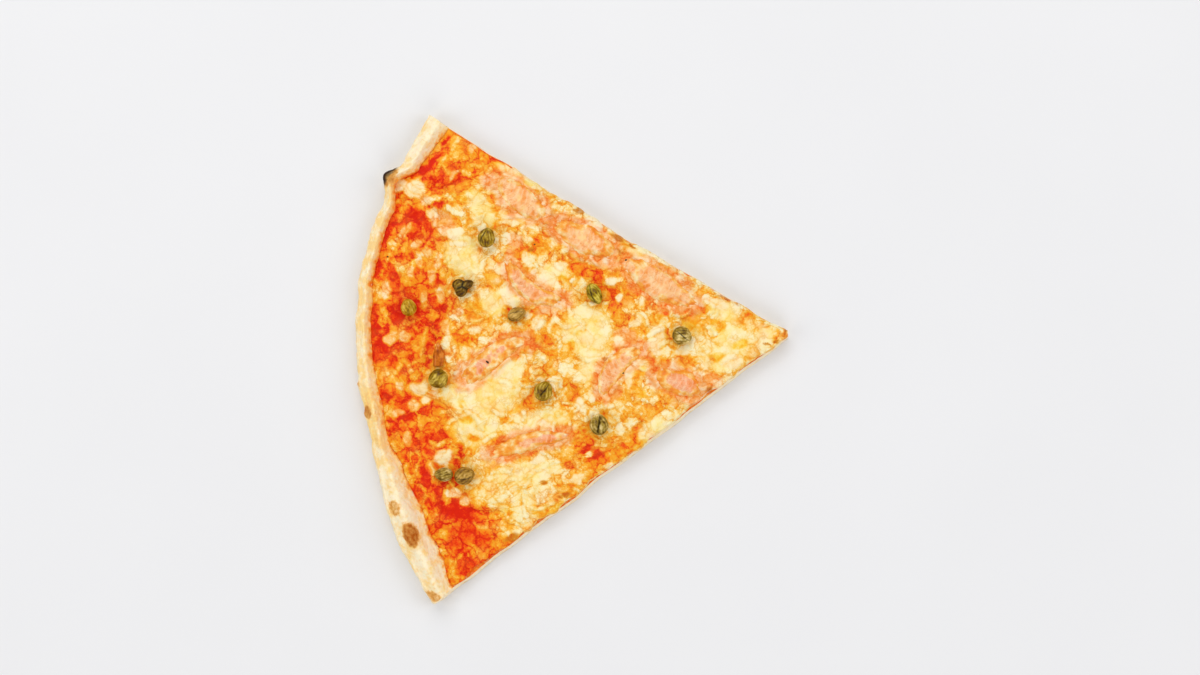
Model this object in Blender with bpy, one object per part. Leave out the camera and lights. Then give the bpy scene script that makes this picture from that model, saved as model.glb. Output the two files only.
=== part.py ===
"""One slice of a thin-crust pizza with tomato sauce, melted cheese, smoked salmon and capers.

Metres, +Z up. The slice lies flat on its baked underside, with the middle of its footprint at the
origin and its tip towards +X. Seen from above, +Y is the side of the corner near the burnt blister.

The dough is one solid with its rim. The sauce and the cheese are layers that run through to both
cuts. Each piece of salmon, each caper and the caper's stalk is a solid of its own, resting on what
lies under it with a gap of LAYER_GAP.
"""

import math

import bmesh
import bpy
from mathutils import Matrix, Vector, noise
from mathutils.bvhtree import BVHTree

MM = 0.001

# The sector that was cut from a round pizza. Angles are seen from the tip, in degrees from -X
# towards +Y.
PIZZA_RADIUS = 160.0 * MM
TIP = Vector((81.6, 9.7, 0.0)) * MM
CUT_ANGLES = (-37.0, 31.2)
TIP_ROUNDING = 1.3 * MM

# How far the outer edge departs from the pizza's radius, at angles seen from the tip, in mm.
EDGE_BULGE = ((-37.0, 6.0), (-33.0, 4.9), (-28.0, 4.3), (-24.0, 3.2), (-19.0, 1.2), (-12.0, 0.0), (-5.0, 1.0),
              (8.0, 1.0), (14.0, 0.0), (18.0, -1.6), (21.0, 0.6), (24.0, -3.1), (31.2, -3.6))
# The rim's width and height on the same angles, in mm.
RIM_WIDTH = ((-37.0, 9.0), (-32.0, 11.5), (-26.0, 12.0), (-19.0, 9.0), (-14.0, 5.6), (-8.0, 6.4), (-1.0, 5.2),
             (8.0, 4.8), (15.0, 4.6), (20.5, 3.6), (24.0, 6.0), (27.0, 7.2), (31.2, 8.2))
RIM_HEIGHT = ((-37.0, 9.5), (-32.0, 12.5), (-25.0, 13.0), (-18.0, 10.6), (-12.0, 9.4), (-5.0, 8.6), (6.0, 8.8),
              (15.0, 8.4), (21.0, 10.0), (24.0, 8.8), (28.0, 9.8), (31.2, 9.0))
# How far the cheese reaches from the tip, in mm. Outside it the sauce is bare.
CHEESE_REACH = ((-37.0, 124.0), (-32.0, 127.0), (-28.0, 136.0), (-24.0, 134.0), (-20.0, 130.0), (-16.0, 128.5),
                (-12.0, 131.0), (-8.0, 143.0), (-4.0, 136.0), (0.0, 133.0), (5.0, 130.0), (10.0, 130.0),
                (14.0, 133.0), (18.0, 138.0), (21.0, 148.0), (24.0, 138.0), (28.0, 126.0), (31.2, 121.0))
# How uneven the outer edge and the cheese's edge are, and over how many degrees.
EDGE_UNEVENNESS = 0.5 * MM
EDGE_WAVE_DEGREES = 3.0
CHEESE_RAGGEDNESS = 1.6 * MM
CHEESE_RAG_DEGREES = 2.2
CHEESE_CLEAR_OF_RIM = 1.5 * MM

# Heights above the table, and the thickness of each layer.
DOUGH_TOP = 4.2 * MM
LAYER_GAP = 0.3 * MM
RIM_FOOT_GAP = 0.7 * MM
SAUCE_THICKNESS = 0.8 * MM
SAUCE_FOOT_THINNING = 0.35 * MM
BARE_SAUCE_RELIEF = 0.55 * MM
SAUCE_GRAIN = 7.0 * MM
CHEESE_THICKNESS = 2.1 * MM
CHEESE_EDGE_THICKNESS = 0.9 * MM
CHEESE_LEAST_THICKNESS = 0.7 * MM
CHEESE_EDGE_BAND = 9.0 * MM
CHEESE_RELIEF = 0.85 * MM
CHEESE_POOL = 13.0 * MM
CHEESE_LUMP = 6.0 * MM

# How many rows of facets each solid has between the tip and the rim, and up the dough's wall.
DOUGH_ROWS = 38
RIM_ROWS = 8
SAUCE_BARE_ROWS = 9
CHEESE_ROWS = 47
WALL_LEVELS = 4

# The rim climbs over this share of its width, then falls by a share of its height to its outer
# wall, which bulges halfway up and turns in under its foot.
RIM_CREST = 0.55
RIM_FALL = 0.42
RIM_UNEVENNESS = 0.5 * MM
RIM_BUMP = 3.7 * MM
WALL_BULGE = 1.3 * MM
WALL_UNDERCUT = 1.4 * MM

# The lower part of a cut side stands out past its upper part, as a wheel cutter leaves it. The
# upper cut also bows inwards halfway along.
CUT_FLARE = 1.3 * MM
UPPER_FLARE_SHARE = 0.4
CUT_WANDER = 0.7 * MM
CUT_WANDER_LENGTH = 16.0 * MM
CUT_WANDER_SEED = 400.0 * MM
UPPER_CUT_BOW = 1.3 * MM
CUT_BAND_POWER = 8

# Blisters on the rim: angle seen from the tip, share of the way from the rim's foot to its outer
# edge, radius and height in mm. The first is the burnt one.
BLISTERS = ((21.6, 0.85, 4.0, 2.2), (-10.8, 0.75, 3.2, 1.2), (-24.8, 0.5, 4.2, 0.9), (-28.6, 0.5, 4.8, 1.1),
            (-6.6, 0.9, 2.6, 0.8), (-35.6, 0.6, 3.4, 0.9))
BLISTER_PUSH = 0.7
# Scraps of cheese on the bare sauce: place seen from above, radius and height in mm.
SCRAPS = ((-64.6, 65.2, 3.6, 1.3), (-60.0, 62.2, 3.8, 1.2), (-52.0, 57.0, 3.4, 0.9), (-62.5, 34.0, 4.0, 0.7),
          (-58.0, 41.0, 3.8, 0.8), (-66.0, 8.5, 3.6, 0.8), (-61.2, -28.6, 2.2, 1.0), (-64.5, -10.0, 3.4, 0.7),
          (-56.5, -26.0, 4.0, 0.8), (-49.0, -49.5, 3.4, 0.8), (-46.5, -61.0, 3.2, 0.9), (-41.0, 74.0, 3.4, 0.7))

# Salmon: the middle line of each piece, seen from above, with the half width at each point, in mm.
SALMON = (
    (((-27.5, 68.0), (-22.0, 62.5), (-15.5, 57.0), (-9.5, 53.5)), (3.6, 5.4, 5.2, 3.6)),
    (((-6.5, 51.0), (1.5, 46.5), (9.0, 43.0), (15.5, 38.5)), (3.8, 5.8, 6.0, 4.2)),
    (((20.0, 37.5), (27.5, 31.5), (36.5, 25.5), (47.0, 20.0)), (3.2, 5.8, 5.6, 3.2)),
    (((-24.0, 38.0), (-20.0, 30.0), (-12.0, 24.0), (-3.0, 21.5)), (2.8, 3.8, 4.2, 3.0)),
    (((-40.5, -8.5), (-33.5, -2.5), (-25.5, 4.0), (-16.0, 8.0)), (3.8, 4.8, 4.4, 3.2)),
    (((-31.0, -35.5), (-21.5, -32.0), (-11.0, -29.0), (-0.5, -28.0)), (3.0, 3.8, 3.6, 2.6)),
    (((26.0, 4.0), (18.5, -0.5), (13.5, -6.5), (11.5, -13.5)), (3.4, 4.6, 4.4, 3.0)),
    (((31.0, -4.5), (37.0, -7.0), (43.0, -9.5), (46.0, -14.0)), (3.6, 5.0, 5.4, 4.0)),
)
SALMON_THICKNESS = 1.5 * MM
SALMON_WAVE = 0.35 * MM
SALMON_WAVE_LENGTH = 6.0 * MM
SALMON_RAGGED = 0.3
SALMON_RAG_SCALE = 1.1
SALMON_BLUNTNESS = 0.78
SALMON_EDGE_SHARPNESS = 0.6
SALMON_BED_REACH = 1.2 * MM
SALMON_SEGMENTS = 20
SALMON_RINGS = 8

# Capers: place seen from above, length, width and height in mm, and the direction of the bud's
# point in degrees from +X.
CAPERS = (
    (-31.4, 45.4, 7.4, 6.4, 5.6, 78.0),
    (-40.4, 27.2, 7.6, 6.2, 4.8, 25.0),
    (-60.5, 19.6, 6.4, 5.8, 5.6, 95.0),
    (-20.3, 17.0, 7.0, 5.2, 4.8, 22.0),
    (8.6, 24.6, 8.2, 5.4, 5.0, -62.0),
    (41.0, 9.0, 7.4, 6.9, 5.8, -25.0),
    (-49.4, -6.9, 7.4, 7.2, 6.0, 200.0),
    (-10.3, -11.4, 7.6, 6.8, 5.8, 65.0),
    (10.2, -23.8, 8.0, 7.0, 5.6, 95.0),
    (-47.5, -42.5, 6.9, 5.2, 4.8, 180.0),
    (-39.6, -42.9, 7.7, 6.7, 5.8, 20.0),
)
# The second caper is an opened bud of three lobes.
OPENED_CAPER = 2
OPENED_LOBES = 0.16
CAPER_SEGMENTS = 12
CAPER_RINGS = 6
CAPER_SINK = 0.6 * MM
CAPER_POINT = 0.22
CAPER_FOOT_REACH = 0.2

# The brown stalk that lies beside the seventh caper.
STALK_START = Vector((-49.6, -2.5)) * MM
STALK_END = Vector((-49.2, 6.6)) * MM
STALK_WIDTH = 4.2 * MM
STALK_HEIGHT = 2.6 * MM
STALK_SINK = 0.4 * MM

# Rays that look for the surface under a place start this high, above every layer.
ABOVE_ALL = 100.0 * MM


def clear_scene():
    """Removes every object that is there at the start."""
    for obj in list(bpy.data.objects):
        bpy.data.objects.remove(obj)


def matte(name, colour, roughness):
    """A Principled material. The colour is linear red, green and blue."""
    material = bpy.data.materials.new(name)
    material.use_nodes = True
    shader = material.node_tree.nodes["Principled BSDF"]
    shader.inputs["Base Color"].default_value = (*colour, 1.0)
    shader.inputs["Roughness"].default_value = roughness
    shader.inputs["Metallic"].default_value = 0.0
    return material


def object_from(name, bm, material):
    """A named object with its own mesh and material."""
    mesh = bpy.data.meshes.new(name)
    bm.to_mesh(mesh)
    bm.free()
    mesh.shade_smooth()
    mesh.set_sharp_from_angle(angle=math.radians(35))
    mesh.materials.append(material)
    obj = bpy.data.objects.new(name, mesh)
    bpy.context.scene.collection.objects.link(obj)
    return obj


def read(table, at):
    """The value that a table of (angle, value) pairs has at an angle, eased between its pairs."""
    if at <= table[0][0]:
        return table[0][1]
    for (left, low), (right, high) in zip(table, table[1:]):
        if at <= right:
            share = (at - left) / (right - left)
            return low + (high - low) * (1 - math.cos(math.pi * share)) / 2
    return table[-1][1]


def eased(share):
    """0 to 1 along an S curve, held outside that range."""
    share = min(1.0, max(0.0, share))
    return share * share * (3 - 2 * share)


def waves(point, wavelength, seed):
    """Smooth noise from about -1 to 1 with bumps one wavelength apart."""
    return noise.fractal(Vector((point.x, point.y, 0.0)) / wavelength + Vector((seed, 0, seed)), 0.8, 2.0, 2)


def bump(distance, radius):
    """A smooth bump's height, as a share, at a distance from its middle."""
    return math.exp(-2.2 * (distance / radius) ** 2)


def angle_at(across):
    """Degrees from -X, seen from the tip. across runs from -1 at the lower cut to 1 at the upper."""
    low, high = CUT_ANGLES
    return (low + high) / 2 + across * (high - low) / 2


def outer_radius(angle):
    """Distance from the tip to the rim's outer edge."""
    bumps = EDGE_UNEVENNESS * waves(Vector((angle, 0, 0)), EDGE_WAVE_DEGREES, 4.0)
    return PIZZA_RADIUS + read(EDGE_BULGE, angle) * MM + bumps


def inner_radius(angle):
    """Distance from the tip to where the rim starts to rise."""
    return outer_radius(angle) - read(RIM_WIDTH, angle) * MM


def cheese_radius(angle):
    """Distance from the tip to the cheese's ragged edge, kept clear of the rim."""
    ragged = CHEESE_RAGGEDNESS * waves(Vector((angle, 0, 0)), CHEESE_RAG_DEGREES, 9.0)
    return min(read(CHEESE_REACH, angle) * MM + ragged, inner_radius(angle) - CHEESE_CLEAR_OF_RIM)


def sector_point(radius, across, height_share=1.0):
    """The place seen from above of a point at a radius from the tip. height_share runs from 0 on the
    table to 1 at the top."""
    angle = math.radians(angle_at(across))
    blunt = math.hypot(radius, TIP_ROUNDING)
    point = TIP + Vector((-math.cos(angle), math.sin(angle), 0.0)) * blunt
    side = 1.0 if across > 0 else -1.0
    cut = math.radians(angle_at(side))
    outward = Vector((math.sin(cut), math.cos(cut), 0.0)) * side
    flare = CUT_FLARE * (UPPER_FLARE_SHARE if side > 0 else 1.0)
    push = flare * (1 - height_share)
    push += CUT_WANDER * waves(Vector((radius, side * CUT_WANDER_SEED, 0.0)), CUT_WANDER_LENGTH, 2.0)
    if side > 0:
        push -= UPPER_CUT_BOW * math.sin(math.pi * min(1.0, radius / PIZZA_RADIUS))
    return point + outward * push * abs(across) ** CUT_BAND_POWER


def triangle_grid(rows):
    """A triangle from the tip to the rim, cut into rows of equal triangles. A point's x is its share
    of the way from the tip, and its y is that share times the share across."""
    bm = bmesh.new()
    corners = [bm.verts.new(place) for place in ((0, 0, 0), (1, -1, 0), (1, 1, 0))]
    bm.faces.new(corners)
    bmesh.ops.subdivide_edges(bm, edges=bm.edges[:], cuts=rows - 1, use_grid_fill=True)
    return bm


def sector_solid(name, rows, levels, place, material):
    """A closed layer over the whole sector. place gives the point of a share outward, a share across
    and a share of the height."""
    bm = triangle_grid(rows)
    top = bmesh.ops.extrude_face_region(bm, geom=bm.faces[:])["geom"]
    raised = [item for item in top if isinstance(item, bmesh.types.BMVert)]
    bmesh.ops.translate(bm, verts=raised, vec=(0, 0, 1))
    upright = [edge for edge in bm.edges if abs(edge.verts[0].co.z - edge.verts[1].co.z) > 0.5]
    if levels > 1:
        bmesh.ops.subdivide_edges(bm, edges=upright, cuts=levels - 1)
    for vert in bm.verts:
        out, beside, height = vert.co
        across = beside / out if out > 1e-6 else 0.0
        vert.co = place(out, max(-1.0, min(1.0, across)), height)
    bmesh.ops.recalc_face_normals(bm, faces=bm.faces[:])
    bmesh.ops.dissolve_limit(bm, angle_limit=math.radians(0.05), verts=bm.verts[:], edges=bm.edges[:])
    bmesh.ops.triangulate(bm, faces=bm.faces[:])
    return object_from(name, bm, material)


def blister_rise(angle, on_rim, width, outer):
    """The height that the blisters add at an angle and a share of the rim's width."""
    rise = 0.0
    for blister_angle, share, size, high in BLISTERS:
        around = math.radians(angle - blister_angle) * outer
        apart = math.hypot(around, (on_rim - share) * width)
        rise += high * MM * bump(apart, size * MM)
    return rise


def crust_point(out, across, height):
    """The dough: a flat bed for the sauce, then the rim with its rounded outer wall."""
    angle = angle_at(across)
    row = out * (DOUGH_ROWS + RIM_ROWS)
    inner, outer = inner_radius(angle), outer_radius(angle)
    on_rim = max(0.0, (row - DOUGH_ROWS) / RIM_ROWS)
    radius = inner * min(1.0, row / DOUGH_ROWS) + (outer - inner) * on_rim
    profile = eased(on_rim / RIM_CREST) - RIM_FALL * eased((on_rim - RIM_CREST) / (1 - RIM_CREST))
    rise = (read(RIM_HEIGHT, angle) * MM - DOUGH_TOP) * profile
    blisters = blister_rise(angle, on_rim, outer - inner, outer)
    uneven = RIM_UNEVENNESS * waves(Vector((radius, angle * MM, 0.0)), RIM_BUMP, 7.0)
    top = DOUGH_TOP + rise + (uneven + blisters) * eased(on_rim * 3)
    radius += on_rim * (WALL_BULGE * math.sin(math.pi * height) - WALL_UNDERCUT * (1 - height) ** 3)
    if out > 0.999:
        radius += BLISTER_PUSH * blisters
    return sector_point(radius, across, height) + Vector((0, 0, top * height))


def sauce_point(out, across, height):
    """The sauce: even under the cheese, grainy and thicker where it is bare, thin at the rim's foot."""
    angle = angle_at(across)
    row = out * (DOUGH_ROWS + SAUCE_BARE_ROWS)
    edge = inner_radius(angle) - RIM_FOOT_GAP
    covered = cheese_radius(angle)
    bare = max(0.0, (row - DOUGH_ROWS) / SAUCE_BARE_ROWS)
    radius = covered * min(1.0, row / DOUGH_ROWS) + (edge - covered) * bare
    point = sector_point(radius, across)
    relief = max(0.0, BARE_SAUCE_RELIEF * (0.8 + waves(point, SAUCE_GRAIN, 1.0)))
    for x, y, size, high in SCRAPS:
        relief += high * MM * bump(math.hypot(point.x - x * MM, point.y - y * MM), size * MM)
    thinning = SAUCE_FOOT_THINNING * eased((bare - 0.7) / 0.3)
    thickness = SAUCE_THICKNESS + relief * math.sin(math.pi * bare) - thinning
    return point + Vector((0, 0, DOUGH_TOP + LAYER_GAP + thickness * height))


def cheese_point(out, across, height):
    """The cheese: pooled and lumpy, thinning to its ragged edge towards the rim."""
    reach = cheese_radius(angle_at(across)) - LAYER_GAP
    radius = reach * out
    point = sector_point(radius, across)
    inside = eased((reach - radius) / CHEESE_EDGE_BAND)
    body = CHEESE_EDGE_THICKNESS + (CHEESE_THICKNESS - CHEESE_EDGE_THICKNESS) * inside
    lumps = waves(point, CHEESE_POOL, 3.0) + 0.6 * waves(point, CHEESE_LUMP, 5.0)
    thickness = max(CHEESE_LEAST_THICKNESS, body + CHEESE_RELIEF * lumps * (0.35 + 0.65 * inside))
    bottom = DOUGH_TOP + SAUCE_THICKNESS + 2 * LAYER_GAP
    return point + Vector((0, 0, bottom + thickness * height))


def surface_under(objects):
    """A function that gives the highest surface of these objects round a place seen from above."""
    graph = bpy.context.evaluated_depsgraph_get()
    trees = [BVHTree.FromObject(obj, graph) for obj in objects]

    def height(x, y, around):
        found = []
        for dx, dy in ((0, 0), (around, 0), (-around, 0), (0, around), (0, -around)):
            for tree in trees:
                hit = tree.ray_cast(Vector((x + dx, y + dy, ABOVE_ALL)), Vector((0, 0, -1)))[0]
                if hit is not None:
                    found.append(hit.z)
        return max(found)

    return height


def along(points, share):
    """The place and the direction at a share of the way along a smooth line through the points."""
    spans = len(points) - 1
    step = min(spans - 1, int(share * spans))
    local = share * spans - step
    ends = [points[max(0, min(spans, step + k))] for k in (-1, 0, 1, 2)]
    before, start, end, after = (Vector(point) for point in ends)
    pull, push = (end - before) / 2, (after - start) / 2
    place = ((2 * start - 2 * end + pull + push) * local ** 3
             + (3 * end - 3 * start - 2 * pull - push) * local ** 2 + pull * local + start)
    heading = ((6 * start - 6 * end + 3 * pull + 3 * push) * local ** 2
               + (6 * end - 6 * start - 4 * pull - 2 * push) * local + pull)
    return place, heading.normalized()


def salmon_solid(name, line, half_widths, bed, material):
    """A wavy flake of salmon along a line, with blunt ends and a ragged edge, laid on its bed."""
    bm = bmesh.new()
    bmesh.ops.create_uvsphere(bm, u_segments=SALMON_SEGMENTS, v_segments=SALMON_RINGS, radius=1.0)
    line = [Vector((x, y)) * MM for x, y in line]
    widths = [Vector((half, 0)) * MM for half in half_widths]
    for vert in bm.verts:
        lengthwise, sideways, up = vert.co
        reach = math.hypot(lengthwise, sideways)
        spread = [math.copysign(abs(side / reach) ** SALMON_BLUNTNESS, side) if reach > 1e-6 else 0.0
                  for side in (lengthwise, sideways)]
        seed = line[0].x / MM * 0.1
        ragged = 1 - SALMON_RAGGED * abs(noise.noise(Vector((*spread, seed)) * SALMON_RAG_SCALE))
        share = 0.5 + 0.5 * spread[0] * reach * ragged
        middle, heading = along(line, share)
        normal = Vector((-heading.y, heading.x))
        flat = middle + normal * spread[1] * reach * ragged * along(widths, share)[0].x
        level = 0.5 + 0.5 * math.copysign(abs(up) ** SALMON_EDGE_SHARPNESS, up)
        wave = SALMON_WAVE * (1 + waves(flat.to_3d(), SALMON_WAVE_LENGTH, 6.0)) * level
        base = bed(flat.x, flat.y, SALMON_BED_REACH) + LAYER_GAP
        vert.co = Vector((flat.x, flat.y, base + SALMON_THICKNESS * level + wave))
    bmesh.ops.recalc_face_normals(bm, faces=bm.faces[:])
    bmesh.ops.triangulate(bm, faces=bm.faces[:])
    return object_from(name, bm, material)


def bud_mesh(length, width, height, lobes=0.0, grow=0.0):
    """A closed flower bud: an egg with a blunt point towards +X. lobes is how deeply an opened bud's
    three sepals stand apart, and grow adds to it all round."""
    bm = bmesh.new()
    bmesh.ops.create_uvsphere(bm, u_segments=CAPER_SEGMENTS, v_segments=CAPER_RINGS, radius=1.0)
    for vert in bm.verts:
        x, y, z = vert.co
        slim = 1 - CAPER_POINT * max(0.0, x)
        opened = 1 + lobes * math.cos(3 * math.atan2(y, x)) * math.hypot(x, y)
        x *= opened * (length / 2 + grow)
        y *= opened * slim * (width / 2 + grow)
        z *= slim * (height / 2 + grow)
        vert.co = Vector((x, y, z))
    bmesh.ops.triangulate(bm, faces=bm.faces[:])
    return bm


def lay_in_pit(name, sizes, lobes, placed, material, pits):
    """A bud-shaped piece, and a slightly larger copy of it that cuts its pit in what it lies on."""
    piece = object_from(name, bud_mesh(*sizes, lobes), material)
    piece.matrix_world = placed
    pit = object_from(f"{name}_pit", bud_mesh(*sizes, lobes, LAYER_GAP), material)
    pit.matrix_world = placed
    bpy.context.scene.collection.objects.unlink(pit)
    pits.objects.link(pit)
    pit.hide_render = True
    pit.display_type = "WIRE"


def make_capers(bed, material, pits):
    """Each caper sits a little way into what lies under it."""
    for number, (x, y, length, width, height, turn) in enumerate(CAPERS, 1):
        ground = bed(x * MM, y * MM, width * CAPER_FOOT_REACH * MM)
        middle = Vector((x * MM, y * MM, ground + height * MM / 2 - CAPER_SINK))
        placed = Matrix.Translation(middle) @ Matrix.Rotation(math.radians(turn), 4, "Z")
        lobes = OPENED_LOBES if number == OPENED_CAPER else 0.0
        sizes = (length * MM, width * MM, height * MM)
        lay_in_pit(f"caper_{number}", sizes, lobes, placed, material, pits)


def make_stalk(bed, material, pits):
    """The caper's stalk, a flat rounded sliver."""
    heading = STALK_END - STALK_START
    middle = (STALK_START + STALK_END) / 2
    ground = bed(middle.x, middle.y, STALK_WIDTH / 3)
    centre = Vector((middle.x, middle.y, ground + STALK_HEIGHT / 2 - STALK_SINK))
    placed = Matrix.Translation(centre) @ Matrix.Rotation(math.atan2(heading.y, heading.x), 4, "Z")
    lay_in_pit("caper_stalk", (heading.length, STALK_WIDTH, STALK_HEIGHT), 0.0, placed, material, pits)


def cut_pits(obj, pits):
    """Cuts the capers' pits from a layer."""
    cut = obj.modifiers.new("caper_pits", "BOOLEAN")
    cut.operation = "DIFFERENCE"
    cut.solver = "EXACT"
    cut.operand_type = "COLLECTION"
    cut.collection = pits


def main():
    clear_scene()
    pits = bpy.data.collections.new("caper_pits")
    bpy.context.scene.collection.children.link(pits)
    dough = matte("baked_dough", (0.91, 0.66, 0.34), 0.75)
    tomato = matte("tomato_sauce", (0.78, 0.09, 0.01), 0.4)
    melted = matte("melted_cheese", (0.93, 0.68, 0.25), 0.4)
    fish = matte("smoked_salmon", (0.93, 0.42, 0.19), 0.45)
    green = matte("pickled_caper", (0.26, 0.19, 0.02), 0.35)
    brown = matte("baked_stalk", (0.5, 0.12, 0.01), 0.4)

    sector_solid("crust", DOUGH_ROWS + RIM_ROWS, WALL_LEVELS, crust_point, dough)
    sauce = sector_solid("tomato_sauce", DOUGH_ROWS + SAUCE_BARE_ROWS, 1, sauce_point, tomato)
    cheese = sector_solid("melted_cheese", CHEESE_ROWS, 1, cheese_point, melted)
    bpy.context.view_layer.update()

    bed = surface_under([sauce, cheese])
    flakes = [
        salmon_solid(f"salmon_{number}", line, half_widths, bed, fish)
        for number, (line, half_widths) in enumerate(SALMON, 1)
    ]
    bpy.context.view_layer.update()

    topping = surface_under([sauce, cheese, *flakes])
    make_capers(topping, green, pits)
    make_stalk(topping, brown, pits)
    for layer in [sauce, cheese, *flakes]:
        cut_pits(layer, pits)


main()
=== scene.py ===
"""The looks of one slice of thin-crust pizza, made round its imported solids.

Metres, +Z up, in the solids' own frame: the slice lies flat, its tip points towards +X, and the
burnt blister on its rim is on the +Y side. Each piece here stands for one or more of the solids and
keeps their form: the sector, its rim, its layers, the flakes and the buds are worked out from the
same sizes, with a finer surface. Places of single lumps, pools and strands are in millimetres.
"""

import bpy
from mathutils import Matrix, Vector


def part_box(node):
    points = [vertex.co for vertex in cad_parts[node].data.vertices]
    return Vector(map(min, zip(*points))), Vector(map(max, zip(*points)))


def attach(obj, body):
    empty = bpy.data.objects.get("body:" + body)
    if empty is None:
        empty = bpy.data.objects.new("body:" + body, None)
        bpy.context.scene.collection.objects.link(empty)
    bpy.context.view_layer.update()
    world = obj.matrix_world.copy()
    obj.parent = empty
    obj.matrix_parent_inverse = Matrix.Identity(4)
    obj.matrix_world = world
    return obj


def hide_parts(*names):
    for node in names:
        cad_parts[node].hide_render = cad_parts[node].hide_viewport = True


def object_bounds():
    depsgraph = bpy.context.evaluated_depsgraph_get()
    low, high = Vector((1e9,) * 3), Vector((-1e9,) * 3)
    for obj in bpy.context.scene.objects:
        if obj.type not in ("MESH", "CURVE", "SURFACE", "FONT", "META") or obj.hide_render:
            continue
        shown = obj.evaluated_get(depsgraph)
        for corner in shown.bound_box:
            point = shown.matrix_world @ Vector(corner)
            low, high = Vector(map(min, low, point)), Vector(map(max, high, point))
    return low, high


bl_info = {
    "name": "Pizza slice",
    "version": (1, 0, 0),
    "blender": (4, 5, 0),
    "location": "3D View > Sidebar > Pizza slice",
    "description": "Makes the dough, sauce, cheese, salmon and capers of a slice of pizza",
    "category": "Add Mesh",
}

import math
import random

import bmesh
import bpy
import numpy as np
from mathutils import Matrix, Vector, noise
from mathutils.bvhtree import BVHTree

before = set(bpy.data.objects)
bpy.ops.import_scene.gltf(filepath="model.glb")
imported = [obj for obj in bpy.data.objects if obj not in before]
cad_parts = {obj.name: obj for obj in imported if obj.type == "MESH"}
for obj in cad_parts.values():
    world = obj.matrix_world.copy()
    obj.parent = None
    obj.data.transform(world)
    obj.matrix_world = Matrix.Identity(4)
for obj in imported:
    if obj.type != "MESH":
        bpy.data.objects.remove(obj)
CAD_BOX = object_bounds()

MM = 0.001
# Shares this near to all or to nothing count as the top, the table, the outer wall or a cut.
NEARLY_ALL = 0.999
NEARLY_NONE = 0.001
AT_CUT = 0.9999
# Farther than any place on the slice, in mm.
FAR = 99.0

# The form of the slice, with the same sizes as its solids. Angles are seen from the tip, in degrees
# from -X towards +Y.
PIZZA_RADIUS = 160.0 * MM
TIP = Vector((81.6, 9.7, 0.0)) * MM
CUT_ANGLES = (-37.0, 31.2)
TIP_ROUNDING = 1.3 * MM
EDGE_BULGE = ((-37.0, 6.0), (-33.0, 4.9), (-28.0, 4.3), (-24.0, 3.2), (-19.0, 1.2), (-12.0, 0.0), (-5.0, 1.0),
              (8.0, 1.0), (14.0, 0.0), (18.0, -1.6), (21.0, 0.6), (24.0, -3.1), (31.2, -3.6))
RIM_WIDTH = ((-37.0, 9.0), (-32.0, 11.5), (-26.0, 12.0), (-19.0, 9.0), (-14.0, 5.6), (-8.0, 6.4), (-1.0, 5.2),
             (8.0, 4.8), (15.0, 4.6), (20.5, 3.6), (24.0, 6.0), (27.0, 7.2), (31.2, 8.2))
RIM_HEIGHT = ((-37.0, 9.5), (-32.0, 12.5), (-25.0, 13.0), (-18.0, 10.6), (-12.0, 9.4), (-5.0, 8.6), (6.0, 8.8),
              (15.0, 8.4), (21.0, 10.0), (24.0, 8.8), (28.0, 9.8), (31.2, 9.0))
CHEESE_REACH = ((-37.0, 124.0), (-32.0, 127.0), (-28.0, 136.0), (-24.0, 134.0), (-20.0, 130.0), (-16.0, 128.5),
                (-12.0, 131.0), (-8.0, 143.0), (-4.0, 136.0), (0.0, 133.0), (5.0, 130.0), (10.0, 130.0),
                (14.0, 133.0), (18.0, 138.0), (21.0, 148.0), (24.0, 138.0), (28.0, 126.0), (31.2, 121.0))
EDGE_UNEVENNESS = 0.5 * MM
EDGE_WAVE_DEGREES = 3.0
CHEESE_RAGGEDNESS = 1.6 * MM
CHEESE_RAG_DEGREES = 2.2
CHEESE_CLEAR_OF_RIM = 1.5 * MM
DOUGH_TOP = 4.2 * MM
LAYER_GAP = 0.3 * MM
SAUCE_THICKNESS = 0.8 * MM
SAUCE_FOOT_THINNING = 0.35 * MM
BARE_SAUCE_RELIEF = 0.55 * MM
SAUCE_GRAIN = 7.0 * MM
CHEESE_THICKNESS = 2.1 * MM
CHEESE_EDGE_THICKNESS = 0.9 * MM
CHEESE_LEAST_THICKNESS = 0.7 * MM
CHEESE_EDGE_BAND = 9.0 * MM
CHEESE_RELIEF = 0.85 * MM
CHEESE_POOL = 13.0 * MM
CHEESE_LUMP = 6.0 * MM
DOUGH_ROWS = 38
RIM_ROWS = 8
WALL_LEVELS = 4
RIM_CREST = 0.55
RIM_FALL = 0.42
RIM_UNEVENNESS = 0.5 * MM
RIM_BUMP = 3.7 * MM
WALL_BULGE = 1.3 * MM
WALL_UNDERCUT = 1.4 * MM
CUT_FLARE = 1.3 * MM
UPPER_FLARE_SHARE = 0.4
CUT_WANDER = 0.7 * MM
CUT_WANDER_LENGTH = 16.0 * MM
CUT_WANDER_SEED = 400.0 * MM
UPPER_CUT_BOW = 1.3 * MM
CUT_BAND_POWER = 8
BLISTERS = ((21.6, 0.85, 4.0, 2.2), (-10.8, 0.75, 3.2, 1.2), (-24.8, 0.5, 4.2, 0.9), (-28.6, 0.5, 4.8, 1.1),
            (-6.6, 0.9, 2.6, 0.8), (-35.6, 0.6, 3.4, 0.9))
BLISTER_PUSH = 0.7
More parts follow.
